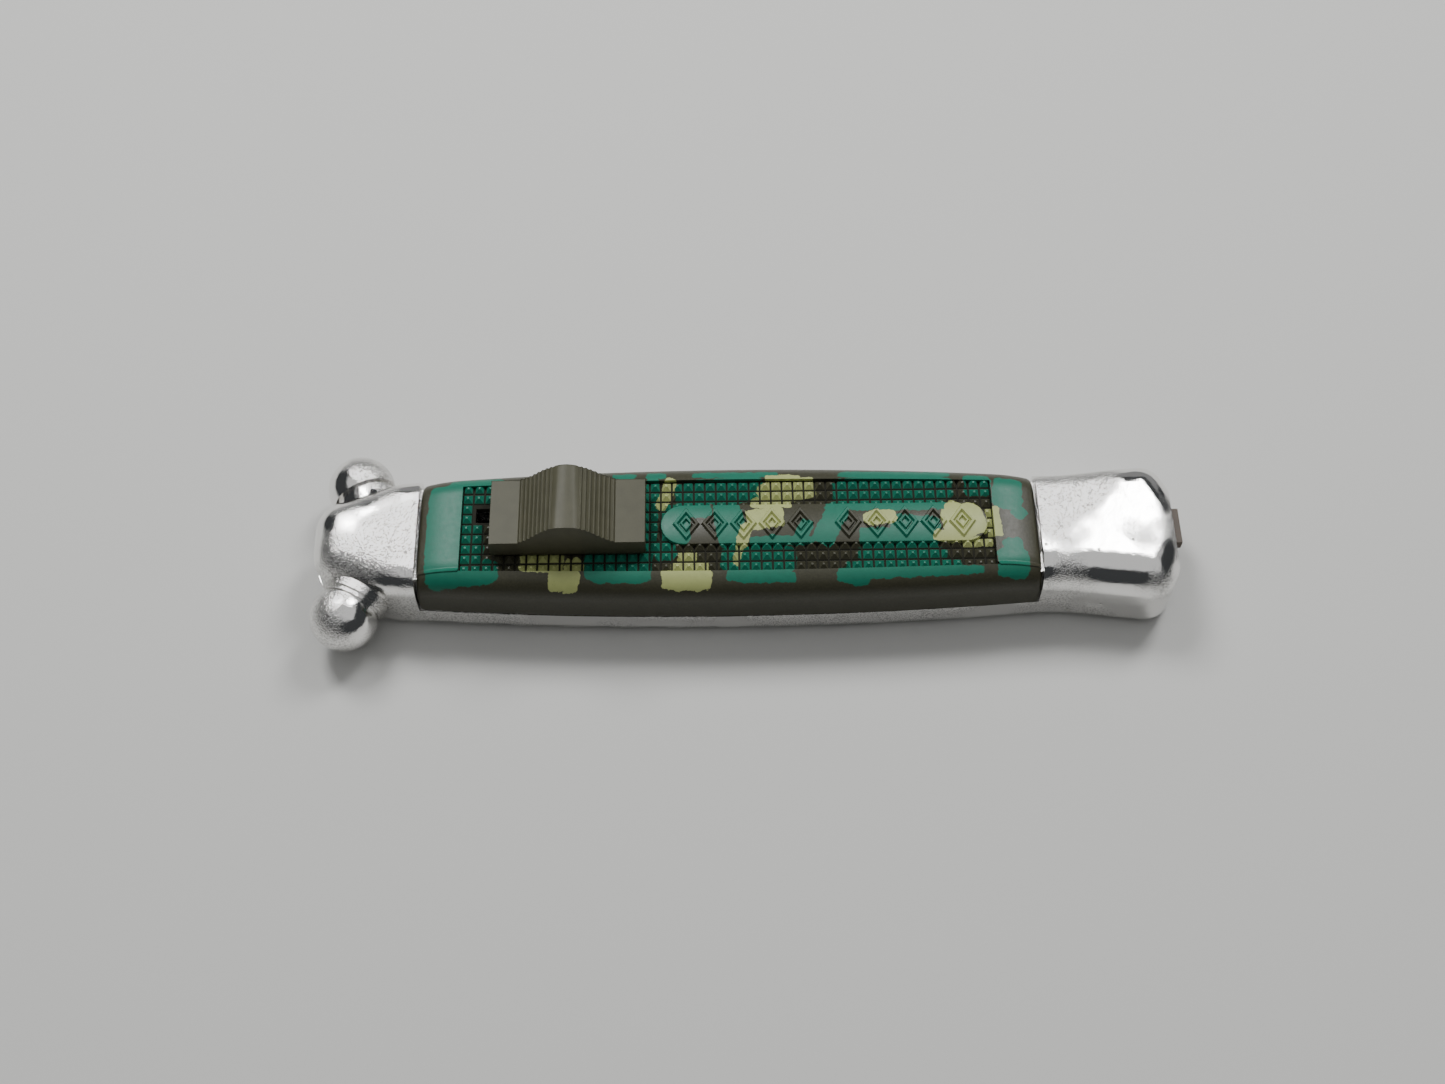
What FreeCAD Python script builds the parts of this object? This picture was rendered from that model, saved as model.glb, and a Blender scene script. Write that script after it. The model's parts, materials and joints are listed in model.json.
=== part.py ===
"""Slide-release pop-out comb in a stiletto-shaped case, as a parametric FreeCAD document.

The case lies on its back. X runs along it, with the mouth that the comb leaves by at -X and the flared
pommel at +X. Y runs across it and Z points up, through the thumb slide. The origin is the centre of the
bounding box, on the surface that the case rests on. Sizes are in millimetres.

Two chrome-plated shells meet on one parting plane. The grip scale covers the upper shell's deck between the
front bolster and the pommel. A carriage carries the comb along a rod under the push of a coil spring, until
the hook of the catch leaf holds the comb by its spine. The thumb slide's fork lifts that hook.
"""

import FreeCAD
import Part
import Sketcher
import math
import os
from FreeCAD import Placement, Rotation, Vector

DIMENSIONS = [
    # The case's outline, seen from above.
    ("nose_front", 59.8, "origin to the flat front of the nose, along -X"),
    ("nose_radius", 4.6, "corner radius of the nose"),
    ("nose_taper", 20.0, "angle of the bolster's tapered sides, in degrees"),
    ("shoulder_radius", 18.0, "radius between the tapered sides and the grip"),
    ("shoulder_front", 47.6, "origin to the end of the shoulder's arc, along -X"),
    ("shoulder_half", 8.65, "half width of the case at the shoulder"),
    ("belly_radius", 560.0, "radius of the grip's long sides"),
    ("waist_rear", 38.5, "origin to the waist behind the grip, along +X"),
    ("waist_half", 8.7, "half width of the case at the waist"),
    ("flare_radius", 35.0, "hollow radius at the front of the pommel's sides"),
    ("flare_angle", 7.1, "angle of the pommel's flared sides, in degrees"),
    ("pommel_corner", 3.3, "corner radius of the pommel"),
    ("pommel_radius", 16.0, "radius of the pommel's bowed end"),
    ("pommel_rear", 59.6, "origin to the end of the pommel, along +X"),
    # The case's heights.
    ("case_height", 12.5, "thickness of the case"),
    ("parting_height", 4.6, "height of the plane where the shells meet"),
    ("top_round", 3.6, "rounding along the upper shell and the scale"),
    ("base_round", 2.6, "rounding along the lower shell"),
    ("floor_thick", 1.4, "thickness of the lower shell's floor"),
    ("pommel_bevel", 0.6, "bevel at the top of the pommel's end"),
    ("pommel_lean", 2.1, "how far the pommel's end leans in above the parting plane"),
    ("nose_round", 4.6, "rounding along the top of the nose"),
    ("pommel_round", 4.4, "rounding along the top of the pommel"),
    # The grip scale and the deck under it.
    ("grip_front", 45.3, "origin to the front end of the deck, along -X"),
    ("grip_rear", 39.3, "origin to the rear end of the deck, along +X"),
    ("grip_gap", 0.15, "clearance at each end of the scale"),
    ("scale_foot", 5.3, "height of the scale's lower edge"),
    ("scale_thick", 1.6, "thickness of the scale"),
    ("scale_fit", 0.1, "clearance between the scale and the deck"),
    ("scale_end_round", 0.9, "rounding of the scale's two ends"),
    ("deck_thick", 1.2, "thickness of the deck"),
    ("tongue_reach", 1.1, "length of the tongues that hold the scale's ends"),
    ("tongue_half", 4.0, "half width of those tongues"),
    ("tongue_thick", 0.8, "thickness of those tongues"),
    # The cavity and the channel that the carriage runs in.
    ("channel_half", 5.35, "half width of the carriage's channel"),
    ("channel_front", 41.0, "origin to the front of the channel, along -X"),
    ("chamber_rear", 57.4, "origin to the rear of the channel, along +X"),
    ("cavity_half", 5.6, "half width of the upper cavity at its ends"),
    ("core_half_length", 28.0, "half length of the coring pockets beside the channel"),
    ("core_inner", 6.4, "origin to the inner side of those pockets"),
    ("core_outer", 7.9, "origin to the outer side of those pockets at their ends"),
    # The comb and its mouth.
    ("comb_tip", 58.7, "origin to the tip of the comb, along -X"),
    ("comb_heel", 34.0, "origin to the heel of the comb, along +X"),
    ("comb_half", 4.2, "half width of the comb"),
    ("comb_low", 4.7, "height of the comb's underside"),
    ("comb_high", 7.1, "height of the comb's top"),
    ("comb_tip_radius", 3.4, "corner radius of the comb's tip"),
    ("tooth_root", 0.2, "Y of the roots of the teeth"),
    ("tooth_gap", 0.9, "width of the gap between two teeth"),
    ("tooth_pitch", 1.9, "distance between two teeth"),
    ("first_gap", 54.6, "origin to the first gap, along -X"),
    ("gap_count", 27, "number of gaps"),
    ("mouth_half", 4.4, "half width of the mouth"),
    ("mouth_high", 7.25, "height of the mouth's roof"),
    # The carriage, its tail and what the hook holds.
    ("carriage_front", 22.0, "origin to the carriage's front, along +X"),
    ("carriage_rear", 40.0, "origin to the carriage's rear, along +X"),
    ("carriage_half", 5.2, "half width of the carriage"),
    ("carriage_low", 1.6, "height of the carriage's underside"),
    ("stroke", 60.0, "travel of the comb"),
    ("tail_rear", 59.8, "origin to the end of the tail, along +X"),
    ("tail_near", -0.6, "Y of the tail's near edge"),
    ("tail_far", 4.8, "Y of the tail's far edge"),
    ("tail_low", 5.4, "height of the tail's underside"),
    ("tail_high", 7.0, "height of the tail's top"),
    ("tail_fit", 0.2, "clearance round the tail"),
    ("hook_x", -24.2, "X of the middle of the hook"),
    ("hook_y", 2.2, "Y of the hook, the stem and the slot"),
    ("hook_window", 2.2, "length of the window that the hook drops into"),
    ("hook_window_half", 0.85, "half width of that window"),
    # The rod and the springs.
    ("rod_height", 3.25, "height of the rod's axis"),
    ("rod_radius", 0.8, "radius of the rod"),
    ("rod_fit", 0.05, "running clearance round the rod"),
    ("rod_front", 45.2, "origin to the rod's front end, along -X"),
    ("rod_rear", 57.1, "origin to the rod's rear end, along +X"),
    ("clip_groove", 56.1, "origin to the clip's groove, along +X"),
    ("clip_groove_wide", 0.5, "width of that groove"),
    ("clip_groove_radius", 0.55, "radius of the rod in that groove"),
    ("clip_radius", 1.6, "outer radius of the clip"),
    ("clip_thick", 0.4, "thickness of the clip"),
    ("spring_radius", 1.55, "mean radius of the main spring"),
    ("spring_wire", 0.2, "radius of the main spring's wire"),
    ("spring_turns", 24, "turns of the main spring"),
    ("seat_front", 53.0, "origin to the spring seat's front, along +X"),
    ("seat_rear", 56.0, "origin to the spring seat's rear, along +X"),
    ("seat_half", 4.5, "half width of the spring seat"),
    ("seat_high", 5.0, "height of the spring seat's top"),
    ("return_radius", 0.75, "mean radius of the thumb slide's spring"),
    ("return_wire", 0.13, "radius of that spring's wire"),
    ("return_turns", 5, "turns of that spring"),
    ("return_height", 8.55, "height of that spring's axis"),
    # The guide block and the bumper behind the mouth.
    ("guide_front", 46.2, "origin to the guide block's front, along -X"),
    ("guide_rear", 41.1, "origin to the guide block's rear, along -X"),
    ("guide_half", 6.2, "half width of the guide block"),
    ("guide_high", 9.5, "height of the guide block's top"),
    ("guide_fit", 0.1, "clearance round the guide block"),
    ("bumper_rear", 38.3, "origin to the bumper's rear, along -X"),
    ("bumper_half", 3.5, "half width of the bumper"),
    ("bumper_high", 4.4, "height of the bumper's top"),
    # The thumb slide and what is under it.
    ("slide_front", 35.0, "origin to the thumb slide's front, along -X"),
    ("slide_rear", 14.2, "origin to the thumb slide's rear, along -X"),
    ("slide_near", -4.45, "Y of the thumb slide's near side"),
    ("slide_far", 5.4, "Y of the thumb slide's far side"),
    ("slide_lift", 0.1, "gap between the thumb slide and the scale"),
    ("slide_flat", 3.1, "height of the thumb slide's flat ends above the scale"),
    ("slide_crest", 7.1, "height of its hump above the scale"),
    ("crest_half", 1.6, "half length of the hump's flat crest"),
    ("hump_half", 6.5, "half length of the hump"),
    ("slide_travel", 5.0, "travel of the thumb slide"),
    ("slot_front", 37.5, "origin to the front of the slot, along -X"),
    ("slot_rear", 25.2, "origin to the rear of the slot, along -X"),
    ("slot_half", 1.1, "half width of the slot"),
    ("stem_half", 1.0, "half width of the stem"),
    ("stem_long", 7.0, "length of the stem"),
    ("retainer_half", 3.1, "half width of the retainer"),
    ("retainer_thick", 0.8, "thickness of the retainer"),
    ("retainer_rear", 25.6, "origin to the retainer's rear, along -X"),
    ("retainer_gap", 0.1, "clearance between the retainer and the deck"),
    ("fork_rear", 19.0, "origin to the fork's tips, along -X"),
    ("fork_inner", 0.95, "hook's middle to a prong's inner side"),
    ("fork_outer", 1.85, "hook's middle to a prong's outer side"),
    ("fork_low", 7.4, "height of the fork's underside"),
    ("fork_high", 8.75, "height of the ramps at the fork's tips"),
    ("leaf_rear", 3.0, "origin to the catch leaf's rear, along -X"),
    ("leaf_mount", 8.0, "origin to the front of its mounted end, along -X"),
    ("leaf_thick", 0.4, "thickness of the catch leaf"),
    ("leaf_half", 1.5, "half width of the catch leaf"),
    ("leaf_drop", 0.4, "drop of the catch leaf in front of its mounted end"),
    ("leaf_dip", 0.7, "further drop of the catch leaf at its hook"),
    ("hook_half", 0.7, "half width of the hook"),
    ("hook_low", 6.6, "height of the hook's end"),
    # The guard's two lugs.
    ("lug_x", -54.9, "X midway between the middles of the lugs' domes"),
    ("lug_stagger", 0.4, "how far the near lug sits in front of that, and the far one behind it"),
    ("lug_y", 10.1, "Y of the middle of a lug's dome"),
    ("lug_z", 6.0, "height of the middle of a lug's dome"),
    ("lug_radius", 4.65, "radius of a lug's dome"),
    ("lug_turn", 25.0, "angle of a lug's axis to the Y axis, in degrees"),
    ("lug_root", 3.3, "dome's middle to the case, along the lug's axis"),
    ("lug_saddle", 0.6, "how far a lug's foot wraps the case's rounded edges"),
    ("collar_radius", 4.5, "radius of the outermost collar under a dome"),
    ("collar_step", 0.35, "difference in radius between two collars"),
    ("collar_thick", 0.62, "thickness of a collar"),
    ("stub_radius", 1.2, "radius of a lug's stub"),
    ("stub_long", 1.3, "length of a lug's stub"),
    ("stub_fit", 0.05, "clearance round a lug's stub"),
    # Fasteners.
    ("screw_radius", 0.8, "radius of a case screw"),
    ("screw_top", 9.4, "height of a case screw's tip"),
    ("screw_head_radius", 1.45, "radius of a case screw's head"),
    ("screw_head_low", 0.6, "height of a case screw's head above the base"),
    ("screw_seat", 1.8, "height of the seat under a case screw's head"),
    ("screw_fit", 0.1, "clearance round a case screw"),
    ("screw_drive", 0.4, "width of the cross recess"),
    ("front_screw_x", -48.2, "X of the front screws"),
    ("front_screw_y", 6.1, "Y of the front screws"),
    ("rear_screw_x", 48.0, "X of the rear screws"),
    ("rear_screw_y", 6.5, "Y of the rear screws"),
    ("small_screw_radius", 0.5, "radius of the screws on the deck's underside"),
    ("small_head_radius", 1.2, "radius of their heads"),
    ("rivet_radius", 0.7, "radius of a comb rivet"),
    ("rivet_head", 1.2, "radius of a comb rivet's head"),
    ("rivet_head_thick", 0.6, "thickness of a comb rivet's head"),
    ("rivet_x", 28.0, "X midway between the comb rivets"),
    ("rivet_step_x", 3.2, "X from there to a rivet"),
    ("rivet_step_y", 3.2, "Y from the middle to a rivet"),
]

TINY = 1e-6
ORIGIN = (-1, 1)
X_AXIS, Y_AXIS = -1, -2

doc = FreeCAD.newDocument("PopOutComb")


class Length:
    """A size as a spreadsheet expression and its present value, so that sketches start near their end."""

    def __init__(self, text, value):
        self.text, self.value = text, float(value)

    def _with(self, other, sign, result):
        text = other.text if isinstance(other, Length) else repr(other)
        return Length(f"({self.text} {sign} {text})", result)

    def __add__(self, other):
        return self._with(other, "+", self.value + number(other))

    def __sub__(self, other):
        return self._with(other, "-", self.value - number(other))

    def __mul__(self, other):
        return self._with(other, "*", self.value * number(other))

    def __truediv__(self, other):
        return self._with(other, "/", self.value / number(other))

    def __neg__(self):
        return Length(f"(0 - {self.text})", -self.value)


def number(size):
    return size.value if isinstance(size, Length) else float(size)


ZERO = Length("0 mm", 0)


class Sizes:
    """The document's spreadsheet of driving dimensions, read as sizes.alias."""

    def __init__(self):
        sheet = doc.addObject("Spreadsheet::Sheet", "Sizes")
        for row, (alias, value, note) in enumerate(DIMENSIONS, start=1):
            sheet.set(f"A{row}", note)
            sheet.set(f"B{row}", str(value))
            sheet.setAlias(f"B{row}", alias)
            setattr(self, alias, Length(f"Sizes.{alias}", value))
        doc.recompute()


sizes = Sizes()


# --- Sketches ---------------------------------------------------------------------------------------------


def new_body(label):
    body = doc.addObject("PartDesign::Body", label)
    body.Label = label
    return body


def start_from(body, blank):
    """Makes another object's solid the first feature of the body."""
    body.BaseFeature = blank
    doc.recompute()


def new_sketch(body, name, plane="XY", offset=None):
    """A sketch on one of the body's own planes, raised along that plane's normal by offset."""
    sketch = body.newObject("Sketcher::SketchObject", name)
    role = f"{plane}_Plane"
    support = next(f for f in body.Origin.OriginFeatures if f.Role == role)
    sketch.AttachmentSupport = [(support, "")]
    sketch.MapMode = "FlatFace"
    if offset is not None:
        sketch.setExpression("AttachmentOffset.Base.z", offset.text)
    return sketch


def constrain(sketch, kind, *parts, size):
    value = math.radians(size.value) if kind == "Angle" else size.value
    index = sketch.addConstraint(Sketcher.Constraint(kind, *parts, value))
    sketch.setExpression(f"Constraints[{index}]", size.text)


def fix_point(sketch, geometry, position, x=None, y=None):
    """Sets a point's coordinates. A coordinate of None is left free."""
    for kind, axis, size in (("DistanceX", Y_AXIS, x), ("DistanceY", X_AXIS, y)):
        if size is None:
            continue
        if abs(number(size)) < TINY:
            sketch.addConstraint(Sketcher.Constraint("PointOnObject", geometry, position, axis))
        else:
            constrain(sketch, kind, *ORIGIN, geometry, position, size=size)


def add_line(sketch, start, end):
    """Adds a line and returns (its index, the position of its start, the position of its end)."""
    index = sketch.addGeometry(Part.LineSegment(Vector(*start, 0), Vector(*end, 0)), False)
    return index, 1, 2


def add_arc(sketch, start, end, radius, bow):
    """Adds an arc that bows to the left of the way from start to end if bow is 1, and to the right if -1."""
    start, end = Vector(*start, 0), Vector(*end, 0)
    chord = end - start
    left = Vector(-chord.y, chord.x, 0).normalize()
    rise = math.sqrt(number(radius) ** 2 - chord.Length**2 / 4)
    centre = (start + end) * 0.5 - left * bow * rise
    angles = [math.atan2(p.y - centre.y, p.x - centre.x) for p in (start, end)]
    if bow > 0:
        angles.reverse()
    if angles[1] < angles[0]:
        angles[1] += 2 * math.pi
    circle = Part.Circle(centre, Vector(0, 0, 1), number(radius))
    index = sketch.addGeometry(Part.ArcOfCircle(circle, *angles), False)
    constrain(sketch, "Radius", index, size=radius)
    return (index, 2, 1) if bow > 0 else (index, 1, 2)


def polygon(sketch, corners, arcs=None):
    """A closed outline through the corners. arcs says which edges are arcs: {edge: (radius, bow)}."""
    arcs = arcs or {}
    points = [(number(x), number(y)) for x, y in corners]
    edges = []
    for i, start in enumerate(points):
        end = points[(i + 1) % len(points)]
        edges.append(add_arc(sketch, start, end, *arcs[i]) if i in arcs else add_line(sketch, start, end))
    for i, (index, begin, _) in enumerate(edges):
        before, _, finish = edges[i - 1]
        sketch.addConstraint(Sketcher.Constraint("Coincident", before, finish, index, begin))
    for (x, y), (index, begin, _) in zip(corners, edges):
        fix_point(sketch, index, begin, x, y)
    return sketch


def rectangle(sketch, x_low, x_high, y_low, y_high):
    return polygon(sketch, [(x_low, y_low), (x_high, y_low), (x_high, y_high), (x_low, y_high)])


def circle(sketch, x, y, radius):
    centre = Vector(number(x), number(y), 0)
    index = sketch.addGeometry(Part.Circle(centre, Vector(0, 0, 1), number(radius)), False)
    constrain(sketch, "Radius", index, size=radius)
    fix_point(sketch, index, 3, x, y)
    return sketch


def case_outline(sketch):
    """The case seen from above: nose, tapered bolster, bellied grip, hollow pommel and its bowed end."""
    s = sizes
    # The far half's corners are starting points. The constraints below make every join of two edges tangent.
    half = [
        (-59.8, 1.7), (-56.8, 6.0), (-52.6, 7.6), (-47.6, 8.65),
        (38.5, 8.7), (45.5, 8.9), (54.6, 10.0), (57.8, 7.5),
    ]
    bends = [
        (s.nose_radius, 1),
        None,
        (s.shoulder_radius, 1),
        (s.belly_radius, 1),
        (s.flare_radius, -1),
        None,
        (s.pommel_corner, 1),
    ]
    far, near = [], []
    for start, end, bend in zip(half, half[1:], bends):
        low_start, low_end = (end[0], -end[1]), (start[0], -start[1])
        # The outline runs clockwise, along the far side towards the pommel, so a convex arc bows to its left.
        if bend:
            far.append(add_arc(sketch, start, end, *bend))
            near.append(add_arc(sketch, low_start, low_end, *bend))
        else:
            far.append(add_line(sketch, start, end))
            near.append(add_line(sketch, low_start, low_end))
    first, last = half[0], half[-1]
    front = add_line(sketch, (first[0], -first[1]), first)
    rear = add_arc(sketch, last, (last[0], -last[1]), s.pommel_radius, 1)
    upper = [front, *far, rear]
    for (before, _, finish), (index, begin, _) in zip(upper, upper[1:]):
        sketch.addConstraint(Sketcher.Constraint("Tangent", before, finish, index, begin))
    lower = [rear, *reversed(near), front]
    for (before, _, finish), (index, begin, _) in zip(lower, lower[1:]):
        sketch.addConstraint(Sketcher.Constraint("Coincident", before, finish, index, begin))
    for (index, begin, _), (other, _, finish) in zip(far, near):
        sketch.addConstraint(Sketcher.Constraint("Symmetric", index, begin, other, finish, X_AXIS))
    (index, _, finish), (other, begin, _) = far[-1], near[-1]
    sketch.addConstraint(Sketcher.Constraint("Symmetric", index, finish, other, begin, X_AXIS))
    fix_point(sketch, front[0], 2, x=-s.nose_front)
    constrain(sketch, "Angle", far[1][0], size=s.nose_taper)
    constrain(sketch, "Angle", far[5][0], size=s.flare_angle)
    fix_point(sketch, far[3][0], far[3][1], -s.shoulder_front, s.shoulder_half)
    fix_point(sketch, far[3][0], far[3][2], s.waist_rear, s.waist_half)
    constrain(sketch, "DistanceX", *ORIGIN, rear[0], 3, size=s.pommel_rear - s.pommel_radius)
    return sketch


# --- Features ---------------------------------------------------------------------------------------------


def pad(body, sketch, name, length, downwards=False, both_ways=False):
    feature = body.newObject("PartDesign::Pad", name)
    feature.Profile = sketch
    feature.Reversed = downwards
    feature.Midplane = both_ways
    feature.setExpression("Length", length.text)
    doc.recompute()
    return feature


def pocket(body, sketch, name, length, upwards=False, both_ways=False):
    """Cuts the sketch's shape out of the body, against the sketch's normal unless upwards is set."""
    before = body.Tip.Shape.Volume
    feature = body.newObject("PartDesign::Pocket", name)
    feature.Profile = sketch
    feature.Reversed = upwards
    feature.Midplane = both_ways
    feature.setExpression("Length", length.text)
    doc.recompute()
    if feature.Shape.Volume > before - TINY:
        raise RuntimeError(f"{body.Label}: pocket {name} cuts nothing")
    return feature


def revolve(body, sketch, name, axis):
    feature = body.newObject("PartDesign::Revolution", name)
    feature.Profile = sketch
    feature.ReferenceAxis = (sketch, [axis])
    feature.Angle = 360.0
    doc.recompute()
    return feature


def edges_where(feature, wanted):
    """Names of the feature's edges whose points all pass the test."""
    found = []
    for i, edge in enumerate(feature.Shape.Edges, start=1):
        points = [edge.valueAt(edge.FirstParameter), edge.valueAt(edge.LastParameter), edge.CenterOfMass]
        if all(wanted(p) for p in points):
            found.append(f"Edge{i}")
    return found


def fillet(body, name, radius, wanted):
    base = body.Tip
    edges = edges_where(base, wanted)
    feature = body.newObject("PartDesign::Fillet", name)
    feature.Base = (base, edges)
    feature.setExpression("Radius", radius.text)
    doc.recompute()
    if feature.State != ["Up-to-date"] or not edges:
        raise RuntimeError(f"{body.Label}: fillet {name} failed on {len(edges)} edges")
    return feature


def at_height(size):
    """An edge test: at this height above the base."""
    return lambda point: abs(point.z - number(size)) < 1e-3


def box_pocket(body, name, x_low, x_high, y_low, y_high, low, high):
    """Cuts a box with sides along the axes."""
    sketch = rectangle(new_sketch(body, f"{name}_sketch", offset=low), x_low, x_high, y_low, y_high)
    return pocket(body, sketch, name, high - low, upwards=True)


def box_pad(body, name, x_low, x_high, y_low, y_high, low, high):
    sketch = rectangle(new_sketch(body, f"{name}_sketch", offset=low), x_low, x_high, y_low, y_high)
    return pad(body, sketch, name, high - low)


def hole_along_x(body, name, y, z, radius, x_low, x_high):
    sketch = circle(new_sketch(body, f"{name}_sketch", "YZ", offset=x_low), y, z, radius)
    return pocket(body, sketch, name, x_high - x_low, upwards=True)


def hole_along_z(body, name, x, y, radius, low, high):
    sketch = circle(new_sketch(body, f"{name}_sketch", offset=low), x, y, radius)
    return pocket(body, sketch, name, high - low, upwards=True)


def cylinder(name, radius, height, position, rotation=None):
    """A Part cylinder whose axis starts at position, along Z unless it is turned."""
    item = doc.addObject("Part::Cylinder", name)
    item.setExpression("Radius", radius.text)
    item.setExpression("Height", height.text)
    item.Placement = Placement(Vector(0, 0, 0), rotation or Rotation())
    for axis, size in zip("xyz", position):
        item.setExpression(f"Placement.Base.{axis}", size.text)
    return item


def box(name, x_low, x_high, y_low, y_high, low, high):
    item = doc.addObject("Part::Box", name)
    for side, size in (("Length", x_high - x_low), ("Width", y_high - y_low), ("Height", high - low)):
        item.setExpression(side, size.text)
    for axis, size in zip("xyz", (x_low, y_low, low)):
        item.setExpression(f"Placement.Base.{axis}", size.text)
    return item


def fuse(name, items):
    item = doc.addObject("Part::MultiFuse", name)
    item.Shapes = items
    return item


def cut(name, base, tool):
    item = doc.addObject("Part::Cut", name)
    item.Base, item.Tool = base, tool
    return item


def group(label, items):
    """One sub-part made of several separate solids."""
    item = doc.addObject("Part::Compound", label)
    item.Label = label
    item.Links = items
    return item


ALONG_X = Rotation(Vector(0, 1, 0), 90)


# --- The case ---------------------------------------------------------------------------------------------


def screw_places():
    """X and Y of the four case screws."""
    s = sizes
    return [
        (s.front_screw_x, s.front_screw_y),
        (s.front_screw_x, -s.front_screw_y),
        (s.rear_screw_x, s.rear_screw_y),
        (s.rear_screw_x, -s.rear_screw_y),
    ]


def make_lower_blank():
    """The solid that the lower shell is cut from."""
    s = sizes
    body = new_body("lower_blank")
    pad(body, case_outline(new_sketch(body, "lower_outline")), "lower_block", s.parting_height)
    fillet(body, "base_rounding", s.base_round, at_height(0))
    return body


def make_upper_blank():
    """The solid that the upper shell is cut from. Its rounding grows towards the nose and the pommel."""
    s = sizes
    body = new_body("upper_block")
    height = s.case_height - s.parting_height
    pad(body, case_outline(new_sketch(body, "upper_outline", offset=s.parting_height)), "upper_pad", height)
    nose = s.nose_radius.value - s.nose_front.value
    shoulder, waist = -s.shoulder_front.value, s.waist_rear.value
    pommel = s.pommel_rear.value - s.pommel_corner.value * 2

    def radius_at(x):
        end, grown = (s.nose_round, (shoulder - x) / (shoulder - nose))
        if x > 0:
            end, grown = (s.pommel_round, (x - waist) / (pommel - waist))
        share = min(max(grown, 0.0), 1.0)
        return s.top_round.value + (end.value - s.top_round.value) * share

    names = edges_where(body.Tip, at_height(s.case_height))
    blank = doc.addObject("Part::Fillet", "upper_blank")
    blank.Base = body
    rounded = []
    for name in names:
        edge = body.Tip.Shape.getElement(name)
        ends = [edge.valueAt(edge.FirstParameter).x, edge.valueAt(edge.LastParameter).x]
        rounded.append((int(name.removeprefix("Edge")), radius_at(ends[0]), radius_at(ends[1])))
    blank.Edges = rounded
    doc.recompute()
    return blank


def make_lower_shell(blank):
    s = sizes
    body = new_body("lower_shell")
    start_from(body, blank)
    box_pocket(
        body, "carriage_channel", -s.channel_front, s.chamber_rear, -s.channel_half, s.channel_half,
        s.floor_thick, s.parting_height,
    )
    block_half = s.guide_half + s.guide_fit
    box_pocket(
        body, "guide_pocket", -s.guide_front - s.guide_fit, -s.channel_front + TINY, -block_half, block_half,
        s.floor_thick, s.parting_height,
    )
    for side, inner, outer in (("far", s.core_inner, s.core_outer), ("near", -s.core_inner, -s.core_outer)):
        sketch = new_sketch(body, f"{side}_core_sketch", offset=s.parting_height)
        bow = 1 if side == "far" else -1
        corners = [
            (-s.core_half_length, inner), (-s.core_half_length, outer),
            (s.core_half_length, outer), (s.core_half_length, inner),
        ]
        polygon(sketch, corners, {1: (s.belly_radius, bow)})
        pocket(body, sketch, f"{side}_core", s.parting_height - s.floor_thick)
    for i, (x, y) in enumerate(screw_places()):
        head_room, shank_room = s.screw_head_radius + s.screw_fit, s.screw_radius + s.screw_fit
        hole_along_z(body, f"counterbore_{i}", x, y, head_room, -s.screw_fit, s.screw_seat)
        hole_along_z(body, f"screw_hole_{i}", x, y, shank_room, s.screw_seat, s.parting_height)
    return body


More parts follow.
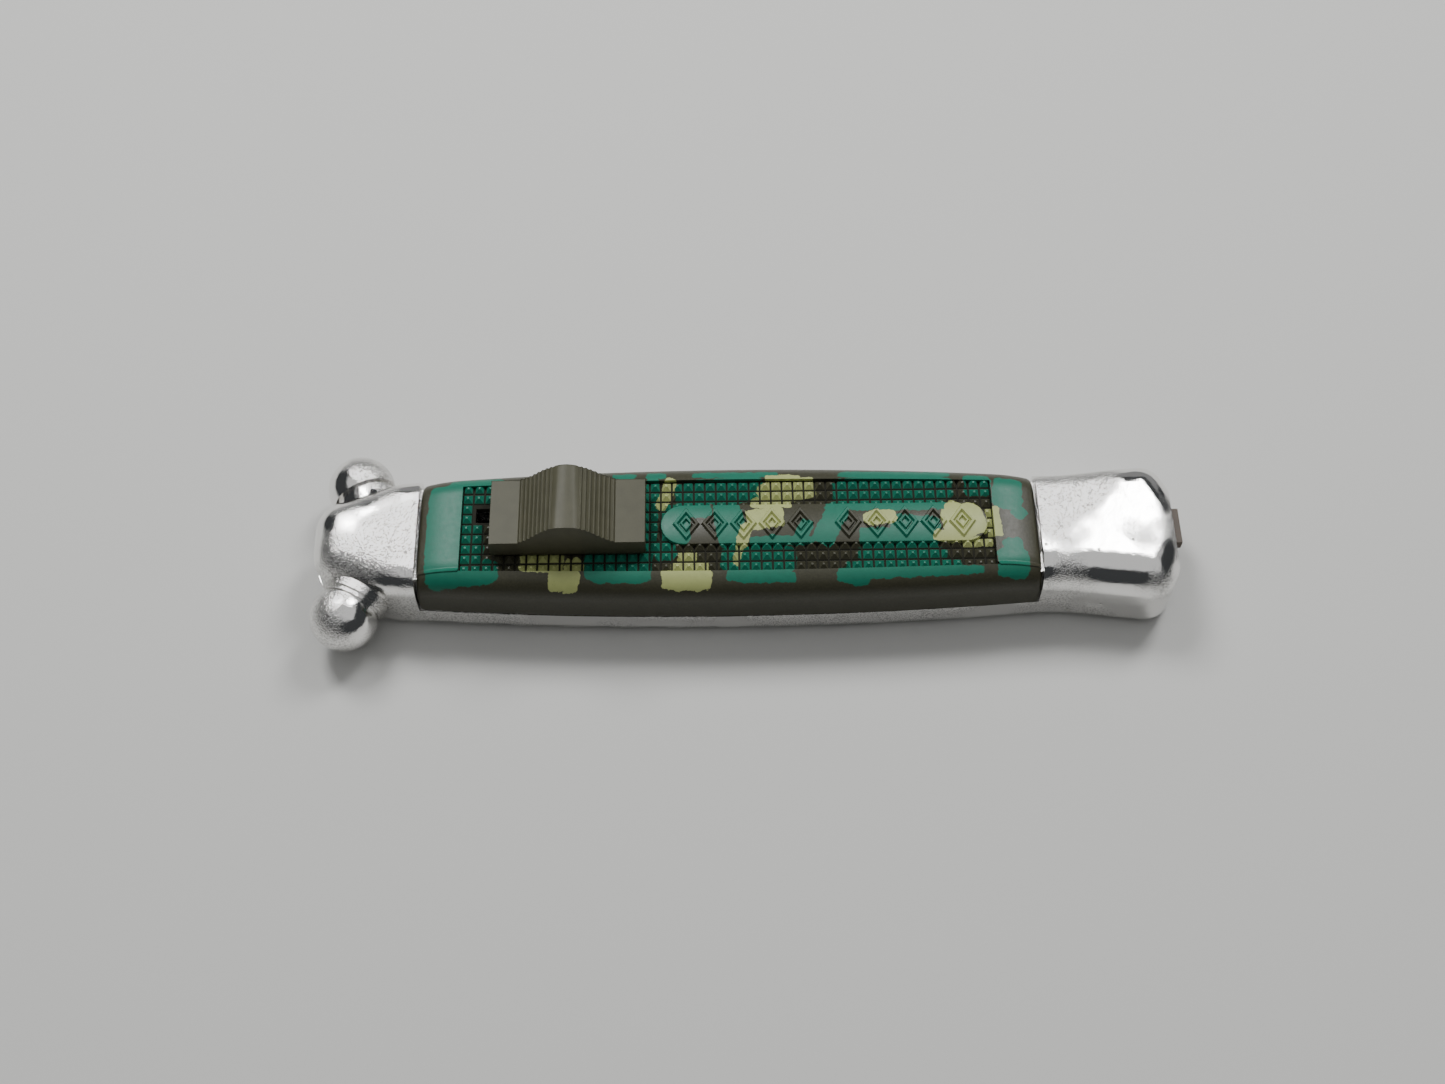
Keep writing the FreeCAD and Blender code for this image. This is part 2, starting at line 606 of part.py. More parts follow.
def make_upper_shell(blank):
    s = sizes
    body = new_body("upper_shell")
    start_from(body, blank)

    # The pommel's end leans in above the parting plane, under a small bevel.
    wide = s.shoulder_half * 3
    top, foot = s.case_height, s.parting_height
    end, bevel = s.pommel_rear, s.pommel_bevel
    sketch = new_sketch(body, "pommel_end_sketch", "XZ")
    corners = [
        (end, foot),
        (end + wide, foot),
        (end + wide, top + bevel),
        (end - s.pommel_lean - bevel * 2, top + bevel),
        (end - s.pommel_lean - bevel, top), (end - s.pommel_lean, top - bevel),
    ]
    pocket(body, polygon(sketch, corners), "pommel_end", wide, both_ways=True)

    # The deck that the scale covers: the case cut back all round between the bolster and the pommel.
    deck_top = s.case_height - s.scale_thick - s.scale_fit
    foot = s.scale_foot - s.scale_fit
    front, rear = -s.grip_front, s.grip_rear
    box_pocket(body, "deck_top", front, rear, -wide, wide, deck_top, s.case_height + s.scale_fit)
    deck_half = s.waist_half - s.scale_thick - s.scale_fit
    for side in (1, -1):
        sketch = new_sketch(body, f"deck_side_{'far' if side > 0 else 'near'}", offset=foot)
        inner, outer = deck_half * side, wide * side
        corners = [(front, inner), (rear, inner), (rear, outer), (front, outer)]
        polygon(sketch, corners, {0: (s.belly_radius, side)})
        name = "far" if side > 0 else "near"
        pocket(body, sketch, f"deck_side_cut_{name}", s.case_height - foot, upwards=True)
    for name, x_low, x_high in (
        ("front_tongue_slot", front - s.tongue_reach - s.scale_fit, front),
        ("rear_tongue_slot", rear, rear + s.tongue_reach + s.scale_fit),
    ):
        half = s.tongue_half + s.scale_fit
        tongue_top = deck_top + s.tongue_thick + s.scale_fit * 2
        box_pocket(body, name, x_low, x_high, -half, half, deck_top, tongue_top)

    # The hollow under the deck and in the pommel.
    roof = deck_top - s.deck_thick
    sketch = new_sketch(body, "cavity_sketch", offset=s.parting_height)
    corners = [
        (-s.channel_front, -s.cavity_half), (s.grip_rear, -s.cavity_half),
        (s.grip_rear, s.cavity_half), (-s.channel_front, s.cavity_half),
    ]
    polygon(sketch, corners, {0: (s.belly_radius, -1), 2: (s.belly_radius, -1)})
    pocket(body, sketch, "cavity", roof - s.parting_height, upwards=True)
    box_pocket(
        body, "pommel_chamber", s.grip_rear - s.scale_fit, s.chamber_rear, -s.channel_half, s.channel_half,
        s.parting_height, s.tail_high + s.pommel_bevel,
    )
    block_half = s.guide_half + s.guide_fit
    box_pocket(
        body, "guide_pocket_roof", -s.guide_front - s.guide_fit, -s.channel_front + TINY,
        -block_half, block_half, s.parting_height, roof,
    )

    # What passes through the walls: the comb, the tail, the stem, the lugs' stubs and the screws.
    box_pocket(
        body, "mouth", -s.nose_front - s.scale_thick, -s.guide_front, -s.mouth_half, s.mouth_half,
        s.parting_height, s.mouth_high,
    )
    box_pocket(
        body, "tail_slot", s.chamber_rear - s.scale_fit, s.tail_rear + s.scale_thick,
        s.tail_near - s.tail_fit, s.tail_far + s.tail_fit, s.tail_low - s.tail_fit, s.tail_high + s.tail_fit,
    )
    box_pocket(
        body, "stem_slot", -s.slot_front, -s.slot_rear, s.hook_y - s.slot_half, s.hook_y + s.slot_half,
        roof - s.scale_fit, deck_top + s.scale_fit,
    )
    hole_along_z(
        body, "leaf_screw_hole", leaf_screw_x(), s.hook_y, s.small_screw_radius, roof - s.scale_fit,
        deck_top - s.scale_fit * 2,
    )
    for i, (x, y) in enumerate(screw_places()):
        pilot, tip = s.screw_radius + s.stub_fit / 2, s.screw_top + s.screw_fit
        hole_along_z(body, f"pilot_{i}", x, y, pilot, s.parting_height, tip)
    return body


def drill_for_stubs(shell):
    """Sockets for the lugs' stubs in the bolster's sides. The result is the finished upper shell."""
    s = sizes
    depth = s.stub_long + s.stub_fit
    stubs = []
    for name, side in (("far", 1), ("near", -1)):
        item = cylinder(
            f"{name}_socket", s.stub_radius + s.stub_fit, depth + s.lug_root, lug_middle(side),
        )
        inward = lug_rotation(side).multiply(Rotation(Vector(1, 0, 0), 180))
        item.Placement = Placement(item.Placement.Base, inward)
        stubs.append(item)
    drilled = cut("upper_shell_drilled", shell, fuse("sockets", stubs))
    shell.Label = "upper_shell_moulding"
    drilled.Label = "upper_shell"
    return drilled


def lug_rotation(side):
    """Turns +Z to a lug's outward axis, on the far side for 1 and the near side for -1."""
    turn = math.radians(sizes.lug_turn.value)
    return Rotation(Vector(0, 0, 1), Vector(-math.sin(turn), side * math.cos(turn), 0))


def lug_middle(side):
    """The middle of a lug's dome."""
    s = sizes
    return (s.lug_x + s.lug_stagger * side, s.lug_y * side, s.lug_z)


def make_lug(label, side, case_block):
    """A domed lug on three stepped collars, saddled on the bolster, with a stub that plugs into it."""
    s = sizes
    body = new_body(f"{label}_head")
    sketch = new_sketch(body, f"{label}_profile", "XZ")
    axis, foot = ZERO, -s.lug_root - s.lug_saddle
    radii = [s.collar_radius - s.collar_step * i for i in range(3)]
    corners = [(axis, foot), (radii[0], foot)]
    for i, radius in enumerate(radii):
        top = -s.lug_root + s.collar_thick * (i + 1)
        corners += [(radius, top)]
        if i + 1 < len(radii):
            corners += [(radii[i + 1], top)]
    # The dome starts where the last collar ends, and closes on the axis.
    base = top
    reach = math.sqrt(s.lug_radius.value**2 - base.value**2)
    neck = Length(f"sqrt({s.lug_radius.text} ^ 2 - {base.text} ^ 2)", reach)
    corners += [(neck, base), (axis, s.lug_radius)]
    dome = len(corners) - 2
    polygon(sketch, corners, {dome: (s.lug_radius, -1)})
    revolve(body, sketch, f"{label}_turned", "V_Axis")
    place = Placement(Vector(*(size.value for size in lug_middle(side))), lug_rotation(side))
    body.Placement = place
    stub = doc.addObject("Part::Cylinder", f"{label}_stub")
    stub.setExpression("Radius", s.stub_radius.text)
    stub.setExpression("Height", (s.stub_long + s.lug_saddle * 2).text)
    stub.Placement = place.multiply(Placement(Vector(0, 0, -(s.lug_root + s.stub_long).value), Rotation()))
    lug = fuse(label, [cut(f"{label}_saddled", body, case_block), stub])
    lug.Label = label
    return lug


def make_grip_scale():
    s = sizes
    body = new_body("grip_scale")
    front, rear = -s.grip_front + s.grip_gap, s.grip_rear - s.grip_gap
    sketch = new_sketch(body, "scale_outline", offset=s.scale_foot)
    corners = [
        (front, -s.shoulder_half), (rear, -s.waist_half), (rear, s.waist_half), (front, s.shoulder_half),
    ]
    polygon(sketch, corners, {0: (s.belly_radius, -1), 2: (s.belly_radius, -1)})
    pad(body, sketch, "scale_block", s.case_height - s.scale_foot)
    long_edges = at_height(s.case_height)
    fillet(body, "scale_rounding", s.top_round, lambda p: long_edges(p) and abs(p.y) > s.waist_half.value - 1)
    ends = (front.value, rear.value)
    fillet(
        body, "scale_end_rounding", s.scale_end_round,
        lambda p: p.z > s.scale_foot.value + 1 and min(abs(p.x - end) for end in ends) < 1e-3,
    )
    sketch = new_sketch(body, "scale_hollow_sketch", offset=s.scale_foot)
    deck_half = s.waist_half - s.scale_thick
    corners = [(front, -deck_half), (rear, -deck_half), (rear, deck_half), (front, deck_half)]
    polygon(sketch, corners, {0: (s.belly_radius, -1), 2: (s.belly_radius, -1)})
    pocket(body, sketch, "scale_hollow", s.case_height - s.scale_thick - s.scale_foot, upwards=True)
    low = s.case_height - s.scale_thick
    for name, x_low, x_high in (
        ("front_tongue", front - s.tongue_reach, front + s.scale_thick),
        ("rear_tongue", rear - s.scale_thick, rear + s.tongue_reach),
    ):
        box_pad(body, name, x_low, x_high, -s.tongue_half, s.tongue_half, low, low + s.tongue_thick)
    box_pocket(
        body, "scale_slot", -s.slot_front, -s.slot_rear, s.hook_y - s.slot_half, s.hook_y + s.slot_half,
        low - s.scale_fit, s.case_height + s.scale_fit,
    )
    return body


def make_case_screws():
    """Four self-tapping screws with cross recesses, driven from below."""
    s = sizes
    screws = []
    for i, (x, y) in enumerate(screw_places()):
        head = cylinder(
            f"screw_head_{i}", s.screw_head_radius, s.screw_seat - s.screw_head_low, (x, y, s.screw_head_low),
        )
        shank = cylinder(f"screw_shank_{i}", s.screw_radius, s.screw_top - s.screw_seat, (x, y, s.screw_seat))
        arm, half = s.screw_head_radius * 0.7, s.screw_drive / 2
        deep = s.screw_head_low + s.screw_drive * 2
        recess = [
            box(f"drive_x_{i}", x - arm, x + arm, y - half, y + half, -half, deep),
            box(f"drive_y_{i}", x - half, x + half, y - arm, y + arm, -half, deep),
        ]
        blank = fuse(f"screw_blank_{i}", [head, shank])
        screws.append(cut(f"screw_{i}", blank, fuse(f"drive_{i}", recess)))
    return group("case_screws", screws)


# --- The comb and what drives it --------------------------------------------------------------------------


def make_comb():
    s = sizes
    body = new_body("comb")
    thick = s.comb_high - s.comb_low
    tip, heel, round_tip = -s.comb_tip, s.comb_heel, s.comb_tip_radius
    flat = s.comb_half - round_tip
    sketch = new_sketch(body, "comb_outline", offset=s.comb_low)
    corners = [
        (tip, flat), (tip, -flat), (tip + round_tip, -s.comb_half), (heel, -s.comb_half),
        (heel, s.comb_half), (tip + round_tip, s.comb_half),
    ]
    polygon(sketch, corners, {1: (round_tip, -1), 5: (round_tip, -1)})
    pad(body, sketch, "comb_plate", thick)
    # One gap with a round root, repeated along the comb.
    sketch = new_sketch(body, "gap_sketch", offset=s.comb_low)
    half, x = s.tooth_gap / 2, -s.first_gap
    corners = [
        (x - half, -s.comb_half - s.tooth_gap), (x + half, -s.comb_half - s.tooth_gap),
        (x + half, s.tooth_root), (x - half, s.tooth_root),
    ]
    polygon(sketch, corners, {2: (half * 1.001, -1)})
    gap = pocket(body, sketch, "gap", thick, upwards=True)
    row = body.newObject("PartDesign::LinearPattern", "tooth_row")
    row.Originals = [gap]
    row.Direction = (sketch, ["H_Axis"])
    row.setExpression("Length", (s.tooth_pitch * (s.gap_count - 1)).text)
    row.Occurrences = int(s.gap_count.value)
    body.Tip = row
    doc.recompute()
    window_half = s.hook_window / 2
    box_pocket(
        body, "hook_window", s.hook_x - window_half, s.hook_x + window_half,
        s.hook_y - s.hook_window_half, s.hook_y + s.hook_window_half, s.comb_low, s.comb_high,
    )
    for i, (x, y) in enumerate(rivet_places()):
        hole_along_z(body, f"comb_rivet_hole_{i}", x, y, s.rivet_radius, s.comb_low, s.comb_high)
    return body


def rivet_places():
    """X and Y of the two rivets that hold the comb to the carriage, one each side of the rod."""
    s = sizes
    return [(s.rivet_x - s.rivet_step_x, s.rivet_step_y), (s.rivet_x + s.rivet_step_x, -s.rivet_step_y)]


def make_comb_carriage():
    """The block that carries the comb's heel, with the tail that shows at the pommel when it is loaded."""
    s = sizes
    body = new_body("comb_carriage")
    half = s.carriage_half
    front, rear = s.carriage_front, s.carriage_rear
    box_pad(body, "carriage_block", front, rear, -half, half, s.carriage_low, s.comb_high)
    box_pocket(
        body, "heel_seat", s.carriage_front - s.tail_fit, s.comb_heel + s.rod_fit, -half * 2, half * 2,
        s.comb_low, s.comb_high + s.tail_fit,
    )
    box_pad(
        body, "tail", s.carriage_rear - s.tail_fit, s.tail_rear,
        s.tail_near, s.tail_far, s.tail_low, s.tail_high,
    )
    locked, window_half = s.hook_x + s.stroke, s.hook_window / 2
    box_pocket(
        body, "lock_notch", locked - window_half, locked + window_half, s.hook_y - s.hook_window_half,
        s.hook_y + s.hook_window_half, s.hook_low - s.rod_fit, s.comb_high + s.tail_fit,
    )
    hole_along_x(
        body, "carriage_bore", ZERO, s.rod_height, s.rod_radius + s.rod_fit,
        s.carriage_front - s.tail_fit, s.carriage_rear + s.tail_fit,
    )
    for i, (x, y) in enumerate(rivet_places()):
        low = s.carriage_low
        hole_along_z(body, f"rivet_hole_{i}", x, y, s.rivet_radius, low, s.comb_low)
        hole_along_z(
            body, f"rivet_seat_{i}", x, y, s.rivet_head + s.rod_fit,
            low - s.rod_fit, low + s.rivet_head_thick + s.rod_fit,
        )
    return body


def make_comb_rivets():
    s = sizes
    rivets = []
    for i, (x, y) in enumerate(rivet_places()):
        low = s.carriage_low + s.rod_fit
        head = cylinder(f"rivet_head_{i}", s.rivet_head, s.rivet_head_thick, (x, y, low))
        shank = cylinder(f"rivet_shank_{i}", s.rivet_radius, s.comb_high - low, (x, y, low))
        rivets.append(fuse(f"rivet_{i}", [head, shank]))
    return group("comb_rivets", rivets)


def make_guide_rod():
    s = sizes
    body = new_body("guide_rod")
    sketch = new_sketch(body, "rod_profile", "XZ")
    axis = s.rod_height
    groove, outer = axis + s.clip_groove_radius, axis + s.rod_radius
    start, end = s.clip_groove, s.clip_groove + s.clip_groove_wide
    corners = [
        (-s.rod_front, axis), (-s.rod_front, outer), (start, outer), (start, groove),
        (end, groove), (end, outer), (s.rod_rear, outer), (s.rod_rear, axis),
    ]
    polygon(sketch, corners)
    revolve(body, sketch, "rod_turned", f"Edge{len(sketch.Geometry)}")
    return body


def make_rod_clip():
    """A C-shaped retaining clip in the rod's groove."""
    s = sizes
    body = new_body("rod_clip")
    x = s.clip_groove + (s.clip_groove_wide - s.clip_thick) / 2
    sketch = circle(new_sketch(body, "clip_sketch", "YZ", offset=x), ZERO, s.rod_height, s.clip_radius)
    pad(body, sketch, "clip_disc", s.clip_thick)
    hole_along_x(
        body, "clip_bore", ZERO, s.rod_height, s.clip_groove_radius,
        x - s.rod_fit, x + s.clip_thick + s.rod_fit,
    )
    gap = s.clip_groove_radius * 0.8
    box_pocket(
        body, "clip_gap", x - s.rod_fit, x + s.clip_thick + s.rod_fit, -gap, gap,
        s.rod_height, s.rod_height + s.clip_radius * 1.5,
    )
    return body


def make_coil(label, radius, wire, turns, start, end, y, z):
    """A coil spring along X from start to end, swept round wire on a helix."""
    item = doc.addObject("Part::Feature", label)
    long = end.value - start.value - wire.value * 2
    helix = Part.makeHelix(long / turns.value, long, radius.value)
    ring = Part.Wire([Part.makeCircle(wire.value, Vector(radius.value, 0, 0), Vector(0, 1, 0))])
    item.Shape = Part.Wire(helix.Edges).makePipeShell([ring], True, True)
    item.Placement = Placement(Vector(start.value + wire.value, y.value, z.value), ALONG_X)
    item.Label = label
    return item


def make_main_spring():
    s = sizes
    return make_coil(
        "main_spring", s.spring_radius, s.spring_wire, s.spring_turns,
        s.carriage_rear, s.seat_front, ZERO, s.rod_height,
    )


def make_spring_seat():
    s = sizes
    body = new_body("spring_seat")
    low = s.floor_thick + s.rod_fit
    box_pad(body, "seat_block", s.seat_front, s.seat_rear, -s.seat_half, s.seat_half, low, s.seat_high)
    hole_along_x(
        body, "seat_bore", ZERO, s.rod_height, s.rod_radius + s.rod_fit / 2,
        s.seat_front - s.tail_fit, s.seat_rear + s.tail_fit,
    )
    return body


def make_mouth_guide():
    """The block behind the nose that guides the comb and holds the front of the rod."""
    s = sizes
    body = new_body("mouth_guide")
    low = s.floor_thick + s.rod_fit
    front, rear = -s.guide_front, -s.guide_rear
    box_pad(body, "guide_block", front, rear, -s.guide_half, s.guide_half, low, s.guide_high)
    box_pocket(
        body, "guide_window", front - s.tail_fit, rear + s.tail_fit, -s.mouth_half, s.mouth_half,
        s.parting_height, s.mouth_high,
    )
    hole_along_x(
        body, "rod_socket", ZERO, s.rod_height, s.rod_radius + s.rod_fit / 2,
        -s.rod_front - s.rod_fit, rear + s.tail_fit,
    )
    return body


def make_front_bumper():
    """The rubber stop that the carriage meets at the end of its stroke."""
    s = sizes
    body = new_body("front_bumper")
    low = s.floor_thick + s.rod_fit
    front, rear = -s.guide_rear, -s.bumper_rear
    box_pad(body, "bumper_block", front, rear, -s.bumper_half, s.bumper_half, low, s.bumper_high)
    hole_along_x(
        body, "bumper_bore", ZERO, s.rod_height, s.rod_radius + s.rod_fit,
        front - s.tail_fit, rear + s.tail_fit,
    )
    return body


# --- The thumb slide and the catch ------------------------------------------------------------------------


def deck_roof():
    """Height of the deck's underside."""
    s = sizes
    return s.case_height - s.scale_thick - s.scale_fit - s.deck_thick


def stem_front():
    s = sizes
    return -s.slot_front + s.slide_travel + s.scale_fit


def make_thumb_slide():
    s = sizes
    body = new_body("thumb_slide")
    low, flat = s.case_height + s.slide_lift, s.case_height + s.slide_flat
    crest = s.case_height + s.slide_crest
    front, rear = -s.slide_front, -s.slide_rear
    middle = (front + rear) / 2
    knee, waist = (flat + crest) / 2, (s.crest_half + s.hump_half) / 2
    flank = (s.hump_half - s.crest_half) * 0.9
    sketch = new_sketch(body, "slide_profile", "XZ", offset=-s.slide_far)
    corners = [
        (front, low), (rear, low), (rear, flat), (middle + s.hump_half, flat), (middle + waist, knee),
        (middle + s.crest_half, crest), (middle - s.crest_half, crest), (middle - waist, knee),
        (middle - s.hump_half, flat), (front, flat),
    ]
    hollow, full = (flank, 1), (flank, -1)
    polygon(sketch, corners, {3: hollow, 4: full, 6: full, 7: hollow})
    pad(body, sketch, "slide_button", s.slide_far - s.slide_near)
    start = stem_front()
    box_pad(
        body, "stem", start, start + s.stem_long, s.hook_y - s.stem_half, s.hook_y + s.stem_half,
        deck_roof() - s.retainer_gap, low + s.slide_lift,
    )
    hole_along_z(
        body, "stem_hole", slide_screw_x(), s.hook_y, s.small_screw_radius,
        deck_roof() - s.retainer_gap, slide_screw_top(),
    )
    return body


def slide_screw_x():
    return stem_front() + sizes.stem_long / 2


def slide_screw_top():
    return sizes.case_height - sizes.slide_lift


def leaf_screw_x():
    return -(sizes.leaf_rear + sizes.leaf_mount) / 2


def make_slide_retainer():
    """The plate screwed to the stem under the deck, with the two prongs that lift the catch leaf."""
    s = sizes
    body = new_body("slide_retainer")
    high = deck_roof() - s.retainer_gap
    low = high - s.retainer_thick
    front, rear = stem_front() - s.slide_lift, -s.retainer_rear
    near, far = s.hook_y - s.retainer_half, s.hook_y + s.retainer_half
    box_pad(body, "retainer_plate", front, rear, near, far, low, high)
    arm = s.fork_low + s.leaf_thick * 1.25
    tip = -s.fork_rear
    for side, sign in (("far", 1), ("near", -1)):
        edges = sorted((s.fork_inner * sign, s.fork_outer * sign), key=number)
        y_low, y_high = s.hook_y + edges[0], s.hook_y + edges[1]
        # The prong hangs from the plate's rear edge and rises to a ramp at its tip.
        sketch = new_sketch(body, f"{side}_prong_sketch", "XZ", offset=-y_high)
        corners = [
            (rear - s.fork_outer, s.fork_low),
            (tip, s.fork_low),
            (tip, s.fork_high),
            (tip - s.fork_inner, s.fork_high),
            (tip - s.fork_outer * 1.5, arm), (rear, arm), (rear, low + s.slide_lift),
            (rear - s.fork_outer, low + s.slide_lift),
        ]
        pad(body, polygon(sketch, corners), f"{side}_prong", y_high - y_low)
    hole_along_z(
        body, "retainer_hole", slide_screw_x(), s.hook_y, s.small_screw_radius,
        low - s.slide_lift, high + s.slide_lift,
    )
    return body


def make_small_screw(label, x, head_low, seat, top):
    """A pan-head screw driven up into the deck or the stem."""
    s = sizes
    head = cylinder(f"{label}_head", s.small_head_radius, seat - head_low, (x, s.hook_y, head_low))
    shank = cylinder(f"{label}_shank", s.small_screw_radius, top - head_low, (x, s.hook_y, head_low))
    half = s.screw_drive / 2
    arm = s.small_head_radius * 0.75
    slot = box(
        f"{label}_drive", x - arm, x + arm, s.hook_y - half, s.hook_y + half,
        head_low - half, head_low + half,
    )
    screw = cut(label, fuse(f"{label}_blank", [head, shank]), slot)
    screw.Label = label
    return screw


def make_slide_screw():
    plate_low = deck_roof() - sizes.retainer_gap - sizes.retainer_thick
    return make_small_screw(
        "slide_screw", slide_screw_x(), plate_low - sizes.small_head_radius / 2, plate_low,
        slide_screw_top() - sizes.slide_lift,
    )


def make_catch_leaf():
    """A spring-steel leaf fixed under the deck, whose bent end hooks the comb's spine."""
    s = sizes
    body = new_body("catch_leaf")
    roof, thick = deck_roof(), s.leaf_thick
    mount_low = roof - thick
    run_high = roof - s.leaf_drop
    run_low = run_high - thick
    dip_high, dip_low = run_high - s.leaf_dip, run_low - s.leaf_dip
    hook_front, hook_rear = s.hook_x - thick / 2, s.hook_x + thick / 2
    slope = s.hook_x + s.hook_window
    sketch = new_sketch(body, "leaf_profile", "XZ", offset=-(s.hook_y + s.leaf_half))
    corners = [
        (-s.leaf_rear, mount_low),
        (-s.leaf_rear, roof),
        (-s.leaf_mount, roof),
        (-s.leaf_mount - thick, run_high),
        (slope, run_high), (hook_rear, dip_high), (hook_front, dip_high), (hook_front, s.hook_low),
        (hook_rear, s.hook_low), (hook_rear, dip_low), (slope, run_low), (-s.leaf_mount - thick, run_low),
        (-s.leaf_mount, mount_low),
    ]
    pad(body, polygon(sketch, corners), "leaf_strip", s.leaf_half * 2)
    # The hook is narrower than the strip.
    for side, sign in (("far", 1), ("near", -1)):
        edges = sorted((s.hook_half * sign, s.leaf_half * 2 * sign), key=number)
        box_pocket(
            body, f"{side}_hook_trim", hook_front - thick, hook_rear + thick / 4, s.hook_y + edges[0],
            s.hook_y + edges[1], s.hook_low - thick, dip_low,
        )
    hole_along_z(
        body, "leaf_hole", leaf_screw_x(), s.hook_y, s.small_screw_radius + s.rod_fit,
        mount_low - thick, roof + thick,
    )
    return body


def make_catch_screw():
    s = sizes
    seat = deck_roof() - s.leaf_thick
    top = s.case_height - s.scale_thick - s.scale_fit * 4
    return make_small_screw("catch_screw", leaf_screw_x(), seat - s.small_head_radius / 2, seat, top)


def make_slide_return_spring():
    s = sizes
    return make_coil(
        "slide_return_spring", s.return_radius, s.return_wire, s.return_turns, -s.guide_rear,
        stem_front() - s.slide_lift, s.hook_y, s.return_height,
    )


def make_parts():
    """Every sub-part, by the label that names its file."""
    lower_blank, upper_blank = make_lower_blank(), make_upper_blank()
    case_block = fuse("case_block", [lower_blank, upper_blank])
    return [
        make_lower_shell(lower_blank),
        drill_for_stubs(make_upper_shell(upper_blank)),
        make_lug("guard_lug_far", 1, case_block),
        make_lug("guard_lug_near", -1, case_block),
        make_grip_scale(),
        make_case_screws(),
        make_comb(),
        make_comb_carriage(),
        make_comb_rivets(),
        make_guide_rod(),
        make_rod_clip(),
        make_main_spring(),
        make_spring_seat(),
        make_mouth_guide(),
        make_front_bumper(),
        make_thumb_slide(),
        make_slide_retainer(),
        make_slide_screw(),
        make_slide_return_spring(),
        make_catch_leaf(),
        make_catch_screw(),
    ]


def check(parts):
    """Stops before anything is written if an object failed or a sub-part's shape is unusable."""
    failed = [o.Label for o in doc.Objects if {"Invalid", "Error"} & set(o.State)]
    if failed:
        raise RuntimeError(f"these objects failed: {failed}")
    for item in parts:
        shape = item.Shape
        if shape.isNull() or not shape.isValid() or not shape.Solids:
            raise RuntimeError(f"{item.Label} has no valid shape")
        print(f"{item.Label:22s} {len(shape.Solids)} solid(s) {shape.Volume:9.2f} mm3")


def main():
    parts = make_parts()
    doc.recompute()
    check(parts)
    os.makedirs("parts", exist_ok=True)
    for item in parts:
        item.Shape.exportStep(os.path.join("parts", f"{item.Label}.step"))


main()
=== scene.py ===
"""The looks of a stiletto-shaped pop-out comb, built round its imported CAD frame.

The chrome shells, the lugs and the works inside keep their CAD meshes and get materials. The grip scale and
the thumb slide are rebuilt here with their pyramids, smooth plate, ornament, ribs and rounded edges. Lengths
are written in millimetres and scaled to metres where a mesh is made.
"""

import json
import math

import bpy
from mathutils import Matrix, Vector


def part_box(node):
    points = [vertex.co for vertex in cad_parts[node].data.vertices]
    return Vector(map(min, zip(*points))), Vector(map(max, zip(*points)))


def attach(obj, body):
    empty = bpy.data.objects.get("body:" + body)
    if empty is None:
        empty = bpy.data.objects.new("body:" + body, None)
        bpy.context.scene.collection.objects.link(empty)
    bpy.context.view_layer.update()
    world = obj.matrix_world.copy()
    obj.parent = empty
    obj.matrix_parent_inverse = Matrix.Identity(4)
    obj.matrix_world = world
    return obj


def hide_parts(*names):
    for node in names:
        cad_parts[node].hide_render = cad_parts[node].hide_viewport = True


MM = 0.001
CASE_TOP = 12.5

# The grip scale. Its ends are rounded on top, and so are the edges of its end faces.
SCALE_FOOT = 5.3
SCALE_ROUND = 3.6
SCALE_THICK = 1.6
BELLY_RADIUS = 560.0
SCALE_END_HALF = 8.67
END_SAG_RADIUS = 17.0
END_SAG_LENGTH = 5.6
END_EDGE = 0.7
END_EDGE_SIDE_SHARE = 0.4
TONGUE = 1.1

# The field of pyramids on it. Its slot is (front, rear, near, far).
FIELD_FRONT, FIELD_REAR = -39.3, 33.0
FIELD_END_HALF, FIELD_MIDDLE_HALF = 6.6, 7.15
FIELD_DEPTH = 0.75
PYRAMID_X, PYRAMID_Y = 1.5, 1.57
PYRAMID_TOP = 0.26
PYRAMID_ROWS = 9
PYRAMID_SINK = 0.06
GROOVE = 0.04
SLOT = (-37.4, -25.2, 1.1, 3.3)
SLOT_LAP = 0.1

# The smooth plate in the field's middle, and its ornament. Each ring of a lozenge is (size, line width).
PLATE_FRONT, PLATE_REAR, PLATE_HALF = -12.2, 32.2, 3.05
PLATE_TOP, PLATE_SOFT_EDGE = CASE_TOP + 0.05, 0.16
PLATE_CORNER_SHARE = 0.3
PLATE_COVER = 1.5
ORNAMENT_GAP = 2.6
ORNAMENT_BASE, ORNAMENT_TOP = CASE_TOP + 0.03, CASE_TOP + 0.42
LOZENGES = 10
LOZENGE_HALF_WIDTH = 2.05
LOZENGE_LENGTH_SHARE = 0.38
LOZENGE_RINGS = ((1.0, 0.7), (0.46, 0.42))
LINE_CROWN_SHARE = 0.4

# The thumb slide. Its stem is (front, rear, near, far, bottom).
SLIDE_BASE, SLIDE_FLAT, SLIDE_CREST = CASE_TOP + 0.1, 15.6, 19.55
HUMP_FRONT, HUMP_REAR = -31.2, -18.1
CREST_FRONT, CREST_REAR = -26.4, -22.9
CREST_BULGE, NEAR_BULGE_SHARE = 0.5, 0.25
CREST_EDGE = 0.1
SLIDE_EDGE, SLIDE_EDGE_ANGLE = 0.1, 24
STEM = (-32.4, -25.4, 1.2, 3.2, 9.5)
STEM_OVERLAP = 0.2

# The ribs on its two slopes. A rib's section is (place along the slope in rib pitches, rise).
RIBS = 8
RIB_SECTION = ((-0.46, 0.0), (-0.26, 0.0), (-0.15, 0.16), (0.0, 0.20), (0.15, 0.16), (0.26, 0.0), (0.46, 0.0))
FLANK_EASE = 0.045
RIB_SINK = 0.16

